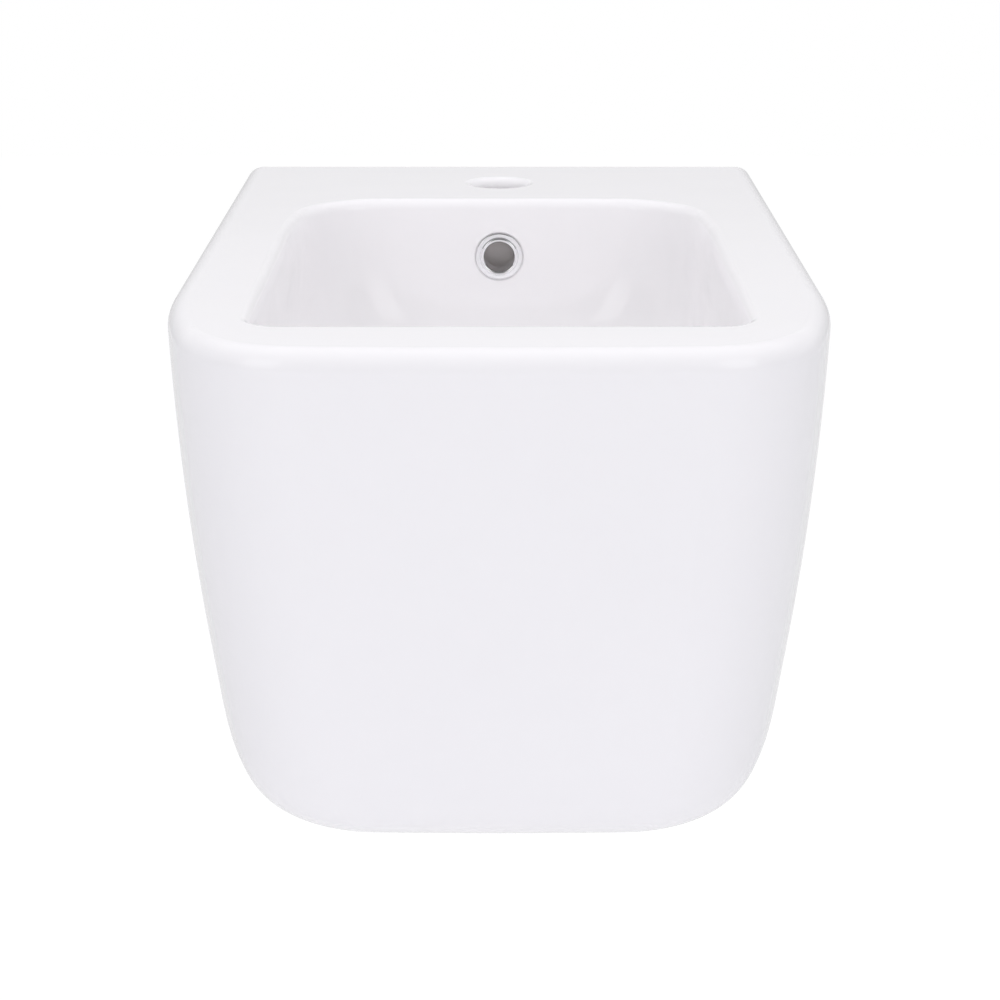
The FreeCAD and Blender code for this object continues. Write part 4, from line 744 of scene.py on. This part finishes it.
add(tree, "ShaderNodeOutputMaterial", {"Surface": either.outputs[0]})
floor_mesh.materials.append(paper)

# The studio light: an even white room, five broad sheets of diffusing cloth, a bounce board over the floor
# and two soft boxes in front. Of the lamps only the two boxes are mirrored. The room is mirrored dim in
# front and high up, and brighter low behind.
LAMP_WHITE = "#ffffff"
LAMP_COOL = "#f8f8ff"
ROOM_TINT = "#f7f8ff"
ROOM_LIGHT = 0.473
FRONT_MIRRORED = 0.22
BACK_MIRRORED = 0.6
TOP_MIRRORED = 0.25
# Between these Y and Z parts of a direction, the mirrored room changes from front to back, and behind from
# low to high.
TURN_Y = (-0.3, 0.3)
TOP_Z = (0.3, 0.5)
room = bpy.data.worlds.new("white_studio")
bpy.context.scene.world = room
room.use_nodes = True
tree = room.node_tree
tree.nodes.clear()
path = add(tree, "ShaderNodeLightPath")
way = add(tree, "ShaderNodeTexCoord").outputs["Generated"]
toward = add(tree, "ShaderNodeSeparateXYZ", {0: way})
behind = add(tree, "ShaderNodeMapRange", {0: toward.outputs["Y"], 1: TURN_Y[0], 2: TURN_Y[1]},
             interpolation_type="SMOOTHSTEP")
back = add(tree, "ShaderNodeMapRange", {0: toward.outputs["Z"], 1: TOP_Z[0], 2: TOP_Z[1],
                                        3: BACK_MIRRORED, 4: TOP_MIRRORED}, interpolation_type="SMOOTHSTEP")
mirrored = add(tree, "ShaderNodeMix", {0: behind.outputs[0], 2: FRONT_MIRRORED, 3: back.outputs[0]})
shone = add(tree, "ShaderNodeMix", {0: path.outputs["Is Glossy Ray"], 2: ROOM_LIGHT, 3: mirrored.outputs[0]})
clear = add(tree, "ShaderNodeMath", {0: path.outputs["Is Camera Ray"],
                                     1: path.outputs["Is Transmission Ray"]}, operation="MAXIMUM")
level = add(tree, "ShaderNodeMix", {0: clear.outputs[0], 2: shone.outputs[0], 3: 1})
seen = add(tree, "ShaderNodeMath", {0: clear.outputs[0], 1: path.outputs["Is Glossy Ray"]},
           operation="MAXIMUM")
tint = add(tree, "ShaderNodeMix", {0: seen.outputs[0], 6: linear(ROOM_TINT), 7: linear(LAMP_WHITE)},
           data_type="RGBA")
white = add(tree, "ShaderNodeBackground", {"Color": tint.outputs[2], "Strength": level.outputs[0]})
add(tree, "ShaderNodeOutputWorld", {"Surface": white.outputs[0]})

# Each lamp's name, place, sides, watts, colour, and whether it is mirrored. All look at the basin's middle.
AIM = Vector((0, -0.27, 0))
LAMPS = [
    ("front_sheet", (0, -2.4, 2.2), (4.6, 2.6), 17.5, LAMP_WHITE, False),
    ("overhead_sheet", (0, -0.5, 2.6), (4.0, 3.0), 34.5, LAMP_WHITE, False),
    ("back_sheet", (0, 1.6, 2.2), (4.0, 2.4), 25.5, LAMP_WHITE, False),
    ("left_sheet", (-2.6, -0.6, 0.6), (2.0, 2.0), 3.9, LAMP_WHITE, False),
    ("right_sheet", (2.6, -0.6, 0.6), (2.0, 2.0), 3.9, LAMP_WHITE, False),
    ("bounce_board", (0, -1.0, -1.15), (3.0, 2.0), 11.2, LAMP_COOL, False),
    ("left_box", (-1.23, -1.9, 0.82), (1.0, 1.39), 4.9, LAMP_WHITE, True),
    ("right_box", (1.23, -1.9, 0.82), (1.0, 1.39), 4.9, LAMP_WHITE, True),
]
for name, spot, sides, watts, tone, is_mirrored in LAMPS:
    sheet = bpy.data.lights.new(name, "AREA")
    sheet.shape = "RECTANGLE"
    sheet.size, sheet.size_y = sides
    sheet.energy = watts
    sheet.color = linear(tone)[:3]
    lamp = bpy.data.objects.new(name, sheet)
    lamp.location = spot
    lamp.rotation_euler = (AIM - Vector(spot)).to_track_quat("-Z", "Y").to_euler()
    lamp.visible_glossy = is_mirrored
    bpy.context.scene.collection.objects.link(lamp)

# The camera: a long lens in front of the basin, on the object's middle line.
# It stands above the deck and looks down on it a little.
CAMERA_SPOT = (0, -1.6469, 0.3526)
CAMERA_DOWN = 17.48
CAMERA_LENS = 84.46
CAMERA_SHIFT = 0.0008
camera = bpy.data.objects.new("camera", bpy.data.cameras.new("camera"))
camera.location = CAMERA_SPOT
camera.rotation_euler = (math.radians(90 - CAMERA_DOWN), 0, 0)
camera.data.lens = CAMERA_LENS
camera.data.shift_x = CAMERA_SHIFT
bpy.context.scene.collection.objects.link(camera)
bpy.context.scene.camera = camera
bpy.context.scene.view_settings.view_transform = "Standard"
